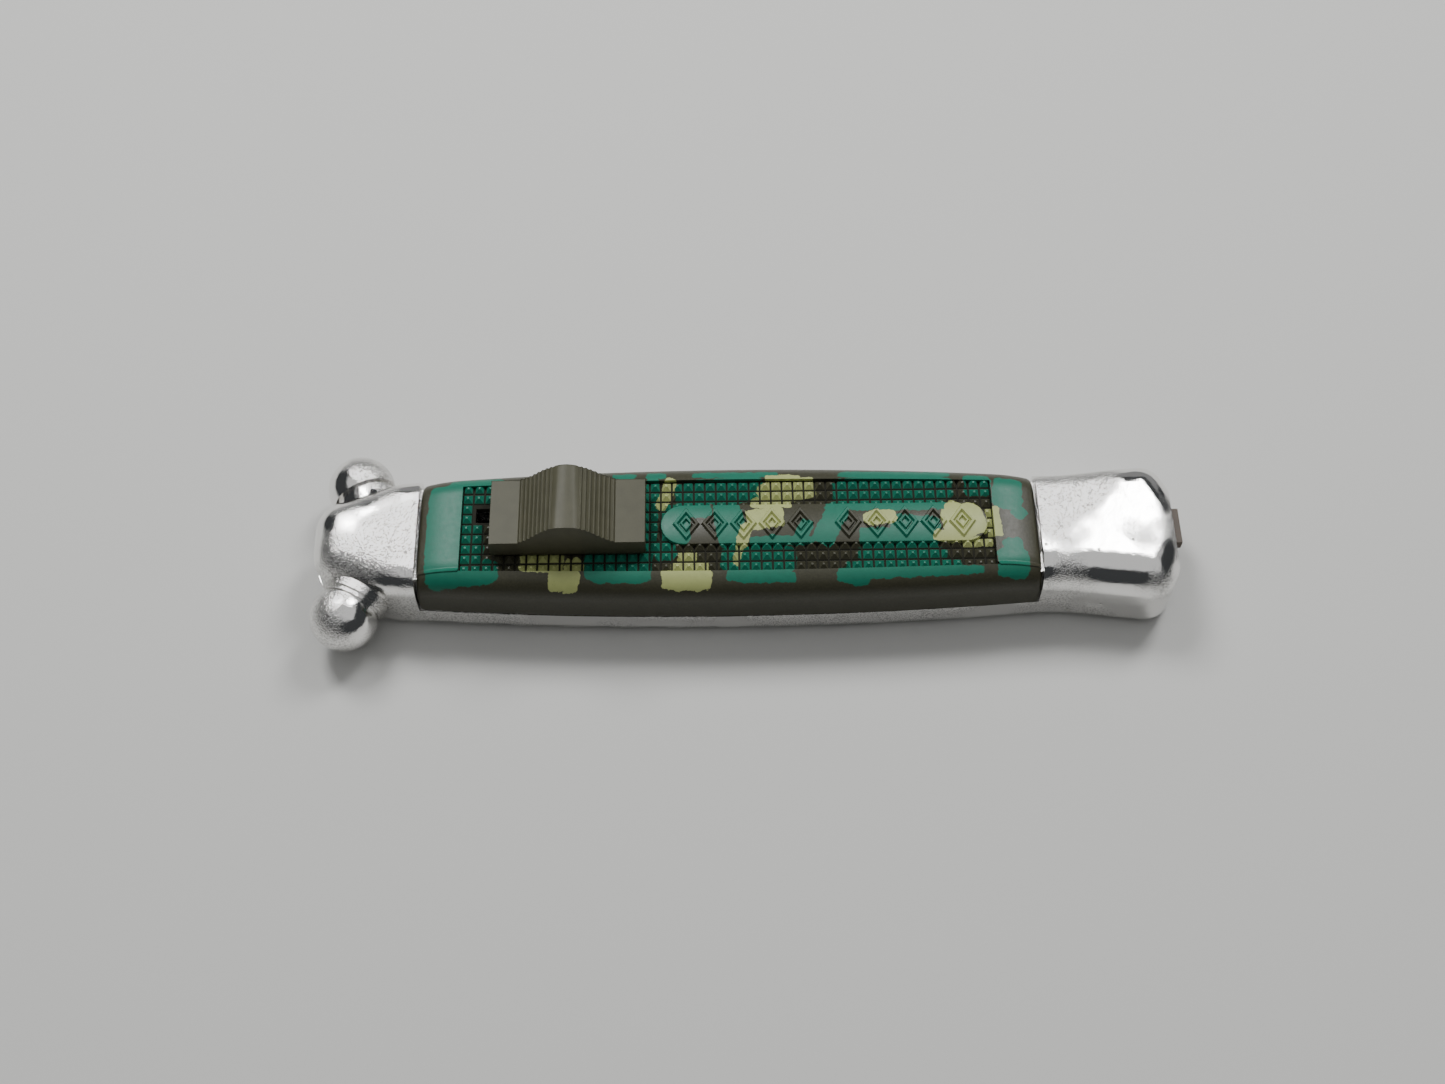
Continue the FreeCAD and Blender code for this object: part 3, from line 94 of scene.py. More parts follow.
# How many steps the meshes take along their curves, and how far apart the front margin's stations are.
FIELD_STEPS = 90
FRONT_MARGIN_STEPS, REAR_MARGIN_STEPS = 12, 13
FRONT_STATION_GAP, LAST_STATION_GAP = 0.45, 0.2
EDGE_STEPS = 6
SIDE_STEPS = 16
MARGIN_STEPS = 24
END_FACE_STEPS = 32
STADIUM_STEPS = 14
SLIDE_STEPS, CREST_STEPS = 4, 10

# Edges that turn by more than this many degrees stay sharp.
SHELL_SHARP, PLATE_SHARP, ORNAMENT_SHARP, SLIDE_SHARP = 32, 40, 30, 35

# Lengths that count as nothing.
WELD_REACH = 0.004
TINY = 1e-6

# Camouflage patches as (middle x, middle y, half length, half width, turn in degrees), seen from above.
TEAL_PATCHES = [
    (-41.5, -0.8, 2.5, 7.7, 0), (-38.9, -6.6, 4.9, 1.8, 0), (-37.2, 4.8, 4.2, 3.4, -2),
    (-38.0, -1.2, 1.8, 4.2, 4), (-17.9, -6.3, 4.6, 2.3, -3), (-13.6, 1.2, 1.0, 6.4, -3),
    (-11.6, -3.7, 1.5, 1.6, 12), (-10.2, 0.2, 2.0, 3.2, 3), (-7.0, 2.1, 1.7, 1.2, 0),
    (-2.9, 0.0, 2.0, 3.4, 8), (-4.2, 5.3, 6.1, 2.0, 4), (-17.2, 8.0, 1.6, 0.6, 0),
    (-12.8, 8.0, 1.4, 0.6, 0), (-2.0, 8.0, 5.9, 0.6, 0), (4.2, -2.6, 4.4, 0.7, 0),
    (7.1, -1.4, 1.0, 1.9, -25), (11.0, 0.0, 1.6, 3.6, -27), (1.0, -5.3, 5.1, 2.1, -2),
    (1.2, -7.9, 4.6, 0.85, -2), (18.6, 2.6, 8.4, 0.8, 0), (19.6, 5.3, 8.3, 2.0, 1),
    (19.9, 7.9, 7.7, 0.7, 0), (22.2, -1.6, 3.4, 2.6, -6), (17.0, -2.1, 2.4, 1.2, 0),
    (20.3, -4.6, 6.0, 1.2, -2), (20.4, -6.4, 7.8, 0.9, 1), (21.3, -7.6, 9.9, 0.6, 2),
    (13.6, -8.0, 2.2, 1.0, -8), (31.2, 5.9, 1.9, 1.7, 0), (35.3, 4.4, 2.1, 2.6, -8),
    (36.6, 1.4, 1.0, 0.9, 40), (35.2, -6.2, 2.2, 2.0, 0), (35.4, -4.0, 1.4, 1.4, 8),
]
CREAM_PATCHES = [
    (-25.2, -7.9, 2.1, 1.4, -6), (-28.2, -5.5, 3.0, 1.5, 0), (-23.8, -5.9, 1.3, 1.0, 0),
    (-8.7, -8.1, 3.4, 1.35, 0), (-8.3, -6.3, 2.5, 0.9, 0), (-8.6, -4.8, 1.3, 1.0, 0),
    (-11.5, 5.0, 0.9, 2.6, -18), (5.0, 5.4, 4.0, 1.7, 8), (4.6, 7.3, 2.4, 0.6, 0),
    (2.8, 3.4, 2.8, 0.9, 0), (2.0, 0.8, 2.6, 1.7, 6), (-0.9, -1.7, 0.8, 1.8, -18),
    (-1.8, -4.6, 0.5, 1.7, -12), (17.6, 0.7, 2.3, 1.1, 6), (28.9, 0.0, 2.9, 2.6, 14),
    (26.8, -2.2, 2.2, 0.9, 0), (27.6, 2.4, 1.0, 0.9, -30), (33.0, -0.1, 1.0, 2.4, 4),
    (30.6, -3.1, 2.1, 0.7, 0),
]

# Linear colours, and how strongly a plastic mirrors.
BROWN, TEAL, CREAM = (0.048, 0.047, 0.029), (0.006, 0.150, 0.095), (0.40, 0.44, 0.17)
SLIDE_COLOUR = (0.070, 0.068, 0.040)
COMB_BLACK, RUBBER_BLACK = (0.012, 0.012, 0.013), (0.02, 0.02, 0.02)
CARRIAGE_BROWN = (0.085, 0.060, 0.040)
INNER_GREY = (0.30, 0.29, 0.26)
CHROME_BRIGHT, CHROME_DULL, CHROME_PIT = (0.88, 0.87, 0.85), (0.34, 0.33, 0.32), (0.25, 0.22, 0.19)
STEEL_DARK, STEEL_LIGHT = (0.50, 0.50, 0.49), (0.66, 0.65, 0.63)
FLOOR_COLOUR = (0.66, 0.66, 0.64)
PLASTIC_SHINE = 0.35

# The camera. Its target is in millimetres, its distance in metres and its angles in degrees.
CAMERA_SENSOR, CAMERA_LENS = 36.0, 46.1
CAMERA_TARGET, CAMERA_DISTANCE = (-3.8, 0.8, 6.25), 0.2566
CAMERA_ELEVATION, CAMERA_TURN = 60.0, -0.85

# Area lights as (name, place in metres, what it faces, size, power in watts).
LIGHTS = [
    ("left_key", (-0.17, 0.25, 0.42), (0, 0, 0), (0.13, 0.18), 1.5),
    ("right_key", (0.20, 0.25, 0.42), (0, 0, 0), (0.12, 0.18), 1.3),
    ("overhead", (0.0, -0.09, 0.56), (0, -0.09, 0), (1.1, 0.70), 1.4),
    ("back", (0.0, 0.85, 0.26), (0, 0, 0.1), (1.8, 0.5), 0.55),
]
ROOM_COLOUR, ROOM_STRENGTH = (0.9, 0.95, 1.0, 1.0), 0.05
FLOOR_REACH = 1.2


# --- Meshes -----------------------------------------------------------------------------------------------


def make_piece(name, points, faces, smooth_angle=None):
    """A mesh object from points in millimetres. Without a smooth angle it is shaded flat."""
    mesh = bpy.data.meshes.new(name)
    mesh.from_pydata([[c * MM for c in p] for p in points], [], faces)
    mesh.validate()
    obj = bpy.data.objects.new(name, mesh)
    bpy.context.scene.collection.objects.link(obj)
    if smooth_angle is not None:
        mesh.shade_smooth()
        mesh.set_sharp_from_angle(angle=math.radians(smooth_angle))
    return obj


def strip(rows, closed=False):
    """Quads between neighbouring rows of point indices."""
    faces = []
    for low, high in zip(rows, rows[1:]):
        count = len(low) if closed else len(low) - 1
        for i in range(count):
            j = (i + 1) % len(low)
            faces.append((low[i], low[j], high[j], high[i]))
    return faces


class Builder:
    """Collects points and faces of one piece."""

    def __init__(self):
        self.points, self.faces = [], []

    def add(self, points):
        start = len(self.points)
        self.points += [tuple(p) for p in points]
        return list(range(start, len(self.points)))

    def sheet(self, rows, closed=False):
        self.faces += strip([self.add(row) for row in rows], closed)

    def piece(self, name, smooth_angle=None):
        return make_piece(name, self.points, self.faces, smooth_angle)


def spread(start, end, count):
    """count + 1 numbers from start to end."""
    return [start + (end - start) * i / count for i in range(count + 1)]


def ride_case(obj, material, replaces=()):
    """Fixes a printed piece of the grip to the case."""
    obj.data.materials.append(material)
    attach(obj, "case")
    if replaces:
        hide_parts(*replaces)


def weld_seams(obj):
    """Merges the points that neighbouring sheets share."""
    weld = obj.modifiers.new("weld", "WELD")
    weld.merge_threshold = WELD_REACH * MM


# --- The grip scale ---------------------------------------------------------------------------------------


def bow(x, front, rear, end_half, radius):
    """Half width at x of an outline whose sides are arcs between two ends of equal half width."""
    middle, reach = (front + rear) / 2, (rear - front) / 2
    return end_half + math.sqrt(radius**2 - (x - middle) ** 2) - math.sqrt(radius**2 - reach**2)


def field_half(x):
    """Half width of the pyramid field at x."""
    middle, reach = (FIELD_FRONT + FIELD_REAR) / 2, (FIELD_REAR - FIELD_FRONT) / 2
    rise = FIELD_MIDDLE_HALF - FIELD_END_HALF
    return FIELD_MIDDLE_HALF - rise * ((x - middle) / reach) ** 2


def end_sag(x, front, rear):
    """How far the scale's top has sunk at x, towards either end."""
    beyond = max(0.0, front + END_SAG_LENGTH - x, x - (rear - END_SAG_LENGTH))
    return END_SAG_RADIUS - math.sqrt(END_SAG_RADIUS**2 - beyond**2)


def surface(ends, x, y, sink=0.0):
    """A point that far under the scale's smooth outer surface."""
    return (x, y, scale_top(x, 0, *ends) - rounding_drop(abs(y), scale_half(x, 0, *ends)) - sink)


def scale_stations(front, rear):
    """X of each cross-section, closer together towards the ends, with the inset of its rounded edge."""
    turns = spread(0, math.pi / 2, EDGE_STEPS)
    edge = [(END_EDGE * (1 - math.sin(a)), END_EDGE * (1 - math.cos(a))) for a in turns]
    steps = [front + END_EDGE + i * FRONT_STATION_GAP for i in range(1, FRONT_MARGIN_STEPS)]
    steps = [x for x in steps if x < FIELD_FRONT - LAST_STATION_GAP] + [FIELD_FRONT]
    steps += spread(FIELD_FRONT, FIELD_REAR, FIELD_STEPS)[1:]
    steps += spread(FIELD_REAR, rear - END_EDGE, REAR_MARGIN_STEPS)[1:-1]
    front_edge = [(front + along, inset) for along, inset in reversed(edge)]
    rear_edge = [(rear - along, inset) for along, inset in edge]
    return front_edge + [(x, 0.0) for x in steps] + rear_edge


def scale_half(x, inset, front, rear):
    """Half width of the scale at x."""
    return bow(x, front, rear, SCALE_END_HALF, BELLY_RADIUS) - inset * END_EDGE_SIDE_SHARE


def scale_top(x, inset, front, rear):
    """Height of the scale's top at x."""
    return CASE_TOP - end_sag(x, front, rear) - inset


def rounding_drop(y, half):
    """How far the rounding along a scale of that half width has sunk at y."""
    over = min(max(y - (half - SCALE_ROUND), 0.0), SCALE_ROUND)
    return SCALE_ROUND - math.sqrt(SCALE_ROUND**2 - over**2)


def section(x, inset, ends):
    """Half width of the scale, height of its top and half width of the field at a station."""
    edge = field_half(min(max(x, FIELD_FRONT), FIELD_REAR))
    return scale_half(x, inset, *ends), scale_top(x, inset, *ends), edge


def add_scale_side(build, stations, ends, side):
    """One side of the scale with the margin between its rounding and the field."""
    rows = []
    for x, inset in stations:
        half, top, edge = section(x, inset, ends)
        ys = [edge + (half - edge) * math.sin(a) for a in spread(0, math.pi / 2, SIDE_STEPS)]
        row = [(x, side * y, top - rounding_drop(y, half)) for y in ys]
        rows.append(row + [(x, side * half, SCALE_FOOT)])
    build.sheet(rows)


def add_scale_margin(build, stations, ends, low, high):
    """The scale's top between one of its ends and the field."""
    rows = []
    for x, inset in stations:
        if low - TINY <= x <= high + TINY:
            half, top, edge = section(x, inset, ends)
            ys = spread(-edge, edge, MARGIN_STEPS)
            rows.append([(x, y, top - rounding_drop(abs(y), half)) for y in ys])
    build.sheet(rows)


def add_scale_end(build, x, inset, ends):
    """An end face as thick as the scale, open below it for the deck and the comb."""
    half, top, _ = section(x, inset, ends)
    ys = [half * math.sin(a) for a in spread(-math.pi / 2, math.pi / 2, END_FACE_STEPS)]
    outer = [(x, y, top - rounding_drop(abs(y), half)) for y in ys]
    outer = [(x, -half, SCALE_FOOT), *outer, (x, half, SCALE_FOOT)]
    hollow_half, hollow_top = half - SCALE_THICK, CASE_TOP - SCALE_THICK
    inner = [(x, max(-hollow_half, min(y, hollow_half)), min(z, hollow_top)) for _, y, z in outer]
    build.sheet([outer, inner])


def make_scale_shell(ends):
    """The scale's smooth skin: its sides, the margins round the field and its two ends."""
    build = Builder()
    front, rear = ends
    stations = scale_stations(front, rear)
    for side in (1, -1):
        add_scale_side(build, stations, ends, side)
    add_scale_margin(build, stations, ends, front, FIELD_FRONT)
    add_scale_margin(build, stations, ends, FIELD_REAR, rear)
    for x, inset in (stations[0], stations[-1]):
        add_scale_end(build, x, inset, ends)
    return build.piece("grip_scale_shell", SHELL_SHARP)


def field_cells():
    """Middles of the field's pyramids."""
    columns = round((FIELD_REAR - FIELD_FRONT) / PYRAMID_X)
    cells = []
    for i in range(columns):
        for j in range(PYRAMID_ROWS):
            x = FIELD_FRONT + (i + 0.5) * (FIELD_REAR - FIELD_FRONT) / columns
            y = (j - (PYRAMID_ROWS - 1) / 2) * PYRAMID_Y
            cells.append((x, y))
    return cells


def in_slot(x, y, margin=0.0):
    """Whether a point is over the slot once its edges are moved out by the margin."""
    return SLOT[0] - margin < x < SLOT[1] + margin and SLOT[2] - margin < y < SLOT[3] + margin


def clear_of_slot(x, y):
    """Moves a point that is over the slot to the nearest of its edges."""
    if not in_slot(x, y):
        return x, y
    moves = [(x - SLOT[0], (SLOT[0], y)), (y - SLOT[2], (x, SLOT[2])), (SLOT[3] - y, (x, SLOT[3]))]
    return min(moves)[1]


def make_pyramids(ends):
    """The knurled field: a pyramid with a small flat top in every cell that isn't over the slot or plate."""
    build = Builder()
    half_x, half_y, half_top = (PYRAMID_X - GROOVE) / 2, (PYRAMID_Y - GROOVE) / 2, PYRAMID_TOP / 2
    corners = [(-1, -1), (1, -1), (1, 1), (-1, 1)]
    for x, y in field_cells():
        covered = PLATE_FRONT + PLATE_COVER < x < PLATE_REAR - PLATE_COVER and abs(y) < PLATE_HALF - half_y
        if covered or in_slot(x, y, -SLOT_LAP):
            continue
        tip = surface(ends, x, y, PYRAMID_SINK)[2]
        floor = tip + PYRAMID_SINK - FIELD_DEPTH
        base = [(*clear_of_slot(x + a * half_x, y + b * half_y), floor) for a, b in corners]
        peak = [(*clear_of_slot(x + a * half_top, y + b * half_top), tip) for a, b in corners]
        low, high = build.add(base), build.add(peak)
        build.faces += strip([low, high], closed=True)
        build.faces.append(tuple(high))
    return build.piece("grip_pyramids")


def make_field_floor(ends):
    """The floor between the pyramids and the walls round it, with the slot cut through."""
    build = Builder()
    stations = spread(FIELD_FRONT, FIELD_REAR, FIELD_STEPS)
    slot_front, slot_rear, slot_near, slot_far = SLOT
    xs = sorted(set(stations) | {slot_front, slot_rear})
    for low, high in zip(xs, xs[1:]):
        over_slot = slot_front <= (low + high) / 2 <= slot_rear
        # None stands for the field's own edge.
        bands = [(None, slot_near), (slot_far, None)] if over_slot else [(None, None)]
        for near, far in bands:
            rows = []
            for x in (low, high):
                start = -field_half(x) if near is None else near
                end = field_half(x) if far is None else far
                rows.append([surface(ends, x, y, FIELD_DEPTH) for y in spread(start, end, SIDE_STEPS)])
            build.sheet(rows)
    for side in (1, -1):
        edges = [(x, side * field_half(x)) for x in stations]
        build.sheet([[surface(ends, x, y), surface(ends, x, y, FIELD_DEPTH)] for x, y in edges])
    for x in (FIELD_FRONT, FIELD_REAR):
        ys = spread(-field_half(x), field_half(x), MARGIN_STEPS)
        build.sheet([[surface(ends, x, y), surface(ends, x, y, FIELD_DEPTH)] for y in ys])
    near_side = [(slot_front, slot_near), (slot_rear, slot_near)]
    far_side = [(slot_rear, slot_far), (slot_front, slot_far)]
    outline = near_side + far_side + near_side[:1]
    build.sheet([[(x, y, CASE_TOP - FIELD_DEPTH), (x, y, CASE_TOP - SCALE_THICK)] for x, y in outline])
    return build.piece("grip_field_floor")


def scale_ends():
    """Front and rear of the scale without the tongues that hold it."""
    low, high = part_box("grip_scale")
    return low.x / MM + TONGUE, high.x / MM - TONGUE


def stadium(front, rear, half, inset):
    """A round-ended outline, anticlockwise from above."""
    radius = half - inset
    points = []
    for middle, start in ((rear - half, -90), (front + half, 90)):
        for angle in spread(start, start + 180, STADIUM_STEPS):
            a = math.radians(angle)
            points.append((middle + radius * math.cos(a), radius * math.sin(a)))
    return points


def make_plate():
    """The smooth plate in the middle of the field, with a softened edge."""
    build = Builder()
    top, soft = PLATE_TOP, PLATE_SOFT_EDGE
    corner = soft * PLATE_CORNER_SHARE
    # Each ring is (inset, height). The last three turn the corner.
    rings = [(0.0, CASE_TOP - FIELD_DEPTH), (0.0, top - soft), (corner, top - corner), (soft, top)]
    loops = []
    for inset, z in rings:
        outline = stadium(PLATE_FRONT, PLATE_REAR, PLATE_HALF, inset)
        loops.append(build.add([(x, y, z) for x, y in outline]))
    build.faces += strip(loops, closed=True)
    build.faces.append(tuple(loops[-1]))
    return build.piece("grip_plate", PLATE_SHARP)


def offset_loop(loop, distance):
    """A closed path moved sideways to its left by distance, with mitred corners."""
    moved = []
    for i, (x, y) in enumerate(loop):
        before, after = loop[i - 1], loop[(i + 1) % len(loop)]
        normals = []
        for a, b in ((before, (x, y)), ((x, y), after)):
            run = Vector((b[0] - a[0], b[1] - a[1])).normalized()
            normals.append(Vector((-run.y, run.x)))
        mean = (normals[0] + normals[1]).normalized()
        reach = distance / mean.dot(normals[0])
        moved.append((x + mean.x * reach, y + mean.y * reach))
    return moved


def add_ridge(build, loop, width):
    """A raised line with sloped sides along a closed path."""
    foot, crown = width / 2, width * LINE_CROWN_SHARE / 2
    sides = [(foot, ORNAMENT_BASE), (crown, ORNAMENT_TOP), (-crown, ORNAMENT_TOP), (-foot, ORNAMENT_BASE)]
    rows = [[(x, y, z) for x, y in offset_loop(loop, aside)] for aside, z in sides]
    build.sheet(rows, closed=True)


def make_ornament():
    """A row of raised lozenges along the plate, each round a smaller one, with a plain gap in the middle."""
    build = Builder()
    room = PLATE_REAR - PLATE_FRONT - PLATE_HALF - ORNAMENT_GAP
    pitch = room / LOZENGES
    start = PLATE_FRONT + PLATE_HALF / 2 + pitch / 2
    for i in range(LOZENGES):
        x = start + i * pitch + (ORNAMENT_GAP if i >= LOZENGES / 2 else 0)
        for size, width in LOZENGE_RINGS:
            along, across = pitch * LOZENGE_LENGTH_SHARE * size, LOZENGE_HALF_WIDTH * size
            add_ridge(build, [(x + along, 0), (x, across), (x - along, 0), (x, -across)], width)
    return build.piece("grip_ornament", ORNAMENT_SHARP)


# --- The thumb slide --------------------------------------------------------------------------------------


def flank(foot_x, crest_x, crest_z):
    """A slope from the slide's flat to its crest with evenly spaced narrow ridges standing on it."""
    points = []
    for i in range(RIBS):
        middle = (i + 0.5) / RIBS
        for offset, rise in RIB_SECTION:
            share = middle + offset / RIBS
            ease = share - math.sin(2 * math.pi * share) * FLANK_EASE
            z = SLIDE_FLAT + (crest_z - SLIDE_FLAT - RIB_SINK) * ease + rise
            points.append((foot_x + (crest_x - foot_x) * share, z))
    return points


def slide_profile(front, rear, bulge):
    """The slide's outline seen from the side, clockwise from its lower front corner."""
    crest_z = SLIDE_CREST - bulge
    crest = []
    for x in spread(CREST_FRONT + CREST_EDGE, CREST_REAR - CREST_EDGE, CREST_STEPS):
        share = (x - CREST_FRONT) / (CREST_REAR - CREST_FRONT) * 2 - 1
        crest.append((x, SLIDE_CREST - bulge * share**2))
    front_flank = flank(HUMP_FRONT, CREST_FRONT, crest_z)
    rear_flank = flank(HUMP_REAR, CREST_REAR, crest_z)
    top = [(front, SLIDE_FLAT), *front_flank, *crest[1:-1], *rear_flank[::-1], (rear, SLIDE_FLAT)]
    return [(front, SLIDE_BASE), *top, (rear, SLIDE_BASE)]


def add_stem(build):
    """The block under the button that reaches down through the slot."""
    stem_front, stem_rear, stem_near, stem_far, bottom = STEM
    near_side = [(stem_front, stem_near), (stem_rear, stem_near)]
    outline = near_side + [(stem_rear, stem_far), (stem_front, stem_far)]
    foot = build.add([(x, y, bottom) for x, y in outline])
    head = build.add([(x, y, SLIDE_BASE + STEM_OVERLAP) for x, y in outline])
    build.faces += strip([foot, head], closed=True)
    build.faces += [tuple(reversed(foot)), tuple(head)]


def make_thumb_slide():
    """The ribbed button with the stem under it. Its crest is domed most along its far side."""
    low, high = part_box("thumb_slide")
    front, rear, near, far = (v / MM for v in (low.x, high.x, low.y, high.y))
    build = Builder()
    rows = []
    for share in spread(0, 1, SLIDE_STEPS):
        y = near + (far - near) * share
        bulge = CREST_BULGE * (NEAR_BULGE_SHARE + (1 - NEAR_BULGE_SHARE) * share)
        profile = slide_profile(front, rear, bulge)
        rows.append(build.add([(x, y, z) for x, z in profile]))
    build.faces += strip(rows, closed=True)
    build.faces += [tuple(rows[0]), tuple(reversed(rows[-1]))]
    add_stem(build)
    obj = build.piece("thumb_slide_button", SLIDE_SHARP)
    round_edges(obj, SLIDE_EDGE, SLIDE_EDGE_ANGLE)
    return obj


def round_edges(obj, width, angle):
    """Rounds every edge that turns by more than the angle."""
    bevel = obj.modifiers.new("edges", "BEVEL")
    bevel.width = width * MM
    bevel.segments = 3
    bevel.limit_method = "ANGLE"
    bevel.angle_limit = math.radians(angle)
    bevel.harden_normals = True


# --- Materials --------------------------------------------------------------------------------------------


class Graph:
    """A material's node tree, with short calls for the nodes used here.

    Scales are per millimetre of the piece, and a bump's distance is in millimetres.
    """

    def __init__(self, name):
        self.material = bpy.data.materials.new(name)
        self.material.use_nodes = True
        self.tree = self.material.node_tree
        self.shader = next(n for n in self.tree.nodes if n.type == "BSDF_PRINCIPLED")
        self.place = self.millimetres()

    def node(self, kind, **inputs):
        item = self.tree.nodes.new(kind)
        for name, value in inputs.items():
            self.feed(item.inputs[name.replace("_", " ")], value)
        return item

    def feed(self, socket, value):
        if isinstance(value, bpy.types.NodeSocket):
            self.tree.links.new(value, socket)
        else:
            socket.default_value = value

    def millimetres(self):
        """The piece's own coordinates, in millimetres."""
        coordinates = self.tree.nodes.new("ShaderNodeTexCoord").outputs["Object"]
        return self.vector("SCALE", coordinates, Scale=1 / MM)

    def vector(self, operation, first, second=None, **inputs):
        item = self.tree.nodes.new("ShaderNodeVectorMath")
        item.operation = operation
        self.feed(item.inputs[0], first)
        if second is not None:
            self.feed(item.inputs[1], second)
        for name, value in inputs.items():
            self.feed(item.inputs[name], value)
        return item.outputs[0]

    def math(self, operation, first, second=0.0, third=None):
        item = self.tree.nodes.new("ShaderNodeMath")
        item.operation = operation
        for socket, value in zip(item.inputs, (first, second, third)):
            if value is not None:
                self.feed(socket, value)
        return item.outputs[0]

    def part(self, vector, axis):
        item = self.node("ShaderNodeSeparateXYZ", Vector=vector)
        return item.outputs[axis]

    def noise(self, scale, detail=2.0, place=None, roughness=0.5):
        item = self.node(
            "ShaderNodeTexNoise", Vector=place or self.place, Scale=scale, Detail=detail, Roughness=roughness
        )
        return item.outputs["Fac"]

    def cells(self, scale):
        return self.node("ShaderNodeTexVoronoi", Vector=self.place, Scale=scale).outputs["Distance"]

    def fit(self, value, low, high, new_low=0.0, new_high=1.0, smooth=False):
        """value from low..high to new_low..new_high, held at both ends."""
        item = self.tree.nodes.new("ShaderNodeMapRange")
        if smooth:
            item.interpolation_type = "SMOOTHSTEP"
        names = ("Value", "From Min", "From Max", "To Min", "To Max")
        for name, given in zip(names, (value, low, high, new_low, new_high)):
            self.feed(item.inputs[name], given)
        return item.outputs["Result"]

    def mix(self, share, first, second):
        item = self.tree.nodes.new("ShaderNodeMix")
        item.data_type = "RGBA"
        self.feed(item.inputs["Factor"], share)
        for socket, value in ((item.inputs[6], first), (item.inputs[7], second)):
            self.feed(socket, (*value, 1.0) if isinstance(value, tuple) and len(value) == 3 else value)
        return item.outputs[2]

    def bump(self, height, distance, strength=1.0, normal=None):
        item = self.node("ShaderNodeBump", Height=height, Distance=distance * MM, Strength=strength)
        if normal is not None:
            self.feed(item.inputs["Normal"], normal)
        return item.outputs["Normal"]

    def finish(self, **inputs):
        for name, value in inputs.items():
            socket = self.shader.inputs[name.replace("_", " ")]
            if isinstance(value, tuple) and len(value) == 3:
                value = (*value, 1.0)
            self.feed(socket, value)
        return self.material


def shade(colour, share):
    return tuple(c * share for c in colour)


def chrome_material():
    """Vacuum-plated plastic: a mirror with orange peel, dull pebbled patches and small pits."""
    g = Graph("vacuum_chrome")
    pebbled = g.fit(g.noise(0.11, 2.0), 0.42, 0.58, smooth=True)
    pebbles = g.noise(4.2, 3.0, roughness=0.6)
    dull = g.math("MULTIPLY", g.fit(pebbles, 0.49, 0.57), pebbled)
    peel = g.noise(0.8, 1.0)
    pits = g.fit(g.cells(0.34), 0.035, 0.085, 1.0, 0.0)
    roughness = g.math("MULTIPLY_ADD", dull, 0.10, 0.06)
    roughness = g.math("MULTIPLY_ADD", g.noise(9.0), 0.05, roughness)
    roughness = g.math("MULTIPLY_ADD", pits, 0.25, roughness)
    height = g.math("MULTIPLY", pebbles, g.math("MULTIPLY_ADD", pebbled, 0.9, 0.1))
    height = g.math("SUBTRACT", height, g.math("MULTIPLY", pits, 0.5))
    normal = g.bump(peel, 0.06, 0.4)
    normal = g.bump(height, 0.12, 1.0, normal)
    colour = g.mix(g.math("MULTIPLY", dull, 0.7), CHROME_BRIGHT, CHROME_DULL)
    colour = g.mix(g.math("MULTIPLY", pits, 0.5), colour, CHROME_PIT)
    return g.finish(Base_Color=colour, Metallic=1.0, Roughness=roughness, Normal=normal)


def patch_mask(g, place, patches):
    """1 inside any of the patches and 0 outside them."""
    nearest = None
    for x, y, half_x, half_y, turn in patches:
        item = g.tree.nodes.new("ShaderNodeMapping")
        item.vector_type = "TEXTURE"
        g.feed(item.inputs["Vector"], place)
        item.inputs["Location"].default_value = (x, y, 0)
        item.inputs["Rotation"].default_value = (0, 0, math.radians(turn))
        item.inputs["Scale"].default_value = (half_x, half_y, 1)
        unit = g.vector("ABSOLUTE", item.outputs[0])
        split = g.node("ShaderNodeSeparateXYZ", Vector=unit)
        # Fifth powers make the patch an oblong with rounded corners.
        reach = g.math("ADD", g.math("POWER", split.outputs[0], 5.0), g.math("POWER", split.outputs[1], 5.0))
        nearest = reach if nearest is None else g.math("MINIMUM", nearest, reach)
    return g.fit(nearest, 0.94, 1.06, 1.0, 0.0)


def groove_mask(g):
    """1 low down between the pyramids of the field and 0 elsewhere."""
    middle, reach = (FIELD_FRONT + FIELD_REAR) / 2, (FIELD_REAR - FIELD_FRONT) / 2
    along = g.math("DIVIDE", g.math("SUBTRACT", g.part(g.place, 0), middle), reach)
    squared, taper = g.math("POWER", along, 2.0), FIELD_END_HALF - FIELD_MIDDLE_HALF
    edge = g.math("MULTIPLY_ADD", squared, taper, FIELD_MIDDLE_HALF)
    across = g.math("ABSOLUTE", g.part(g.place, 1))
    in_width = g.math("LESS_THAN", across, edge)
    in_length = g.math("LESS_THAN", g.math("ABSOLUTE", along), 1.0)
    inside = g.math("MULTIPLY", in_width, in_length)
    floor = CASE_TOP - FIELD_DEPTH
    return g.math("MULTIPLY", inside, g.fit(g.part(g.place, 2), floor + 0.08, floor + 0.2, 1.0, 0.0))


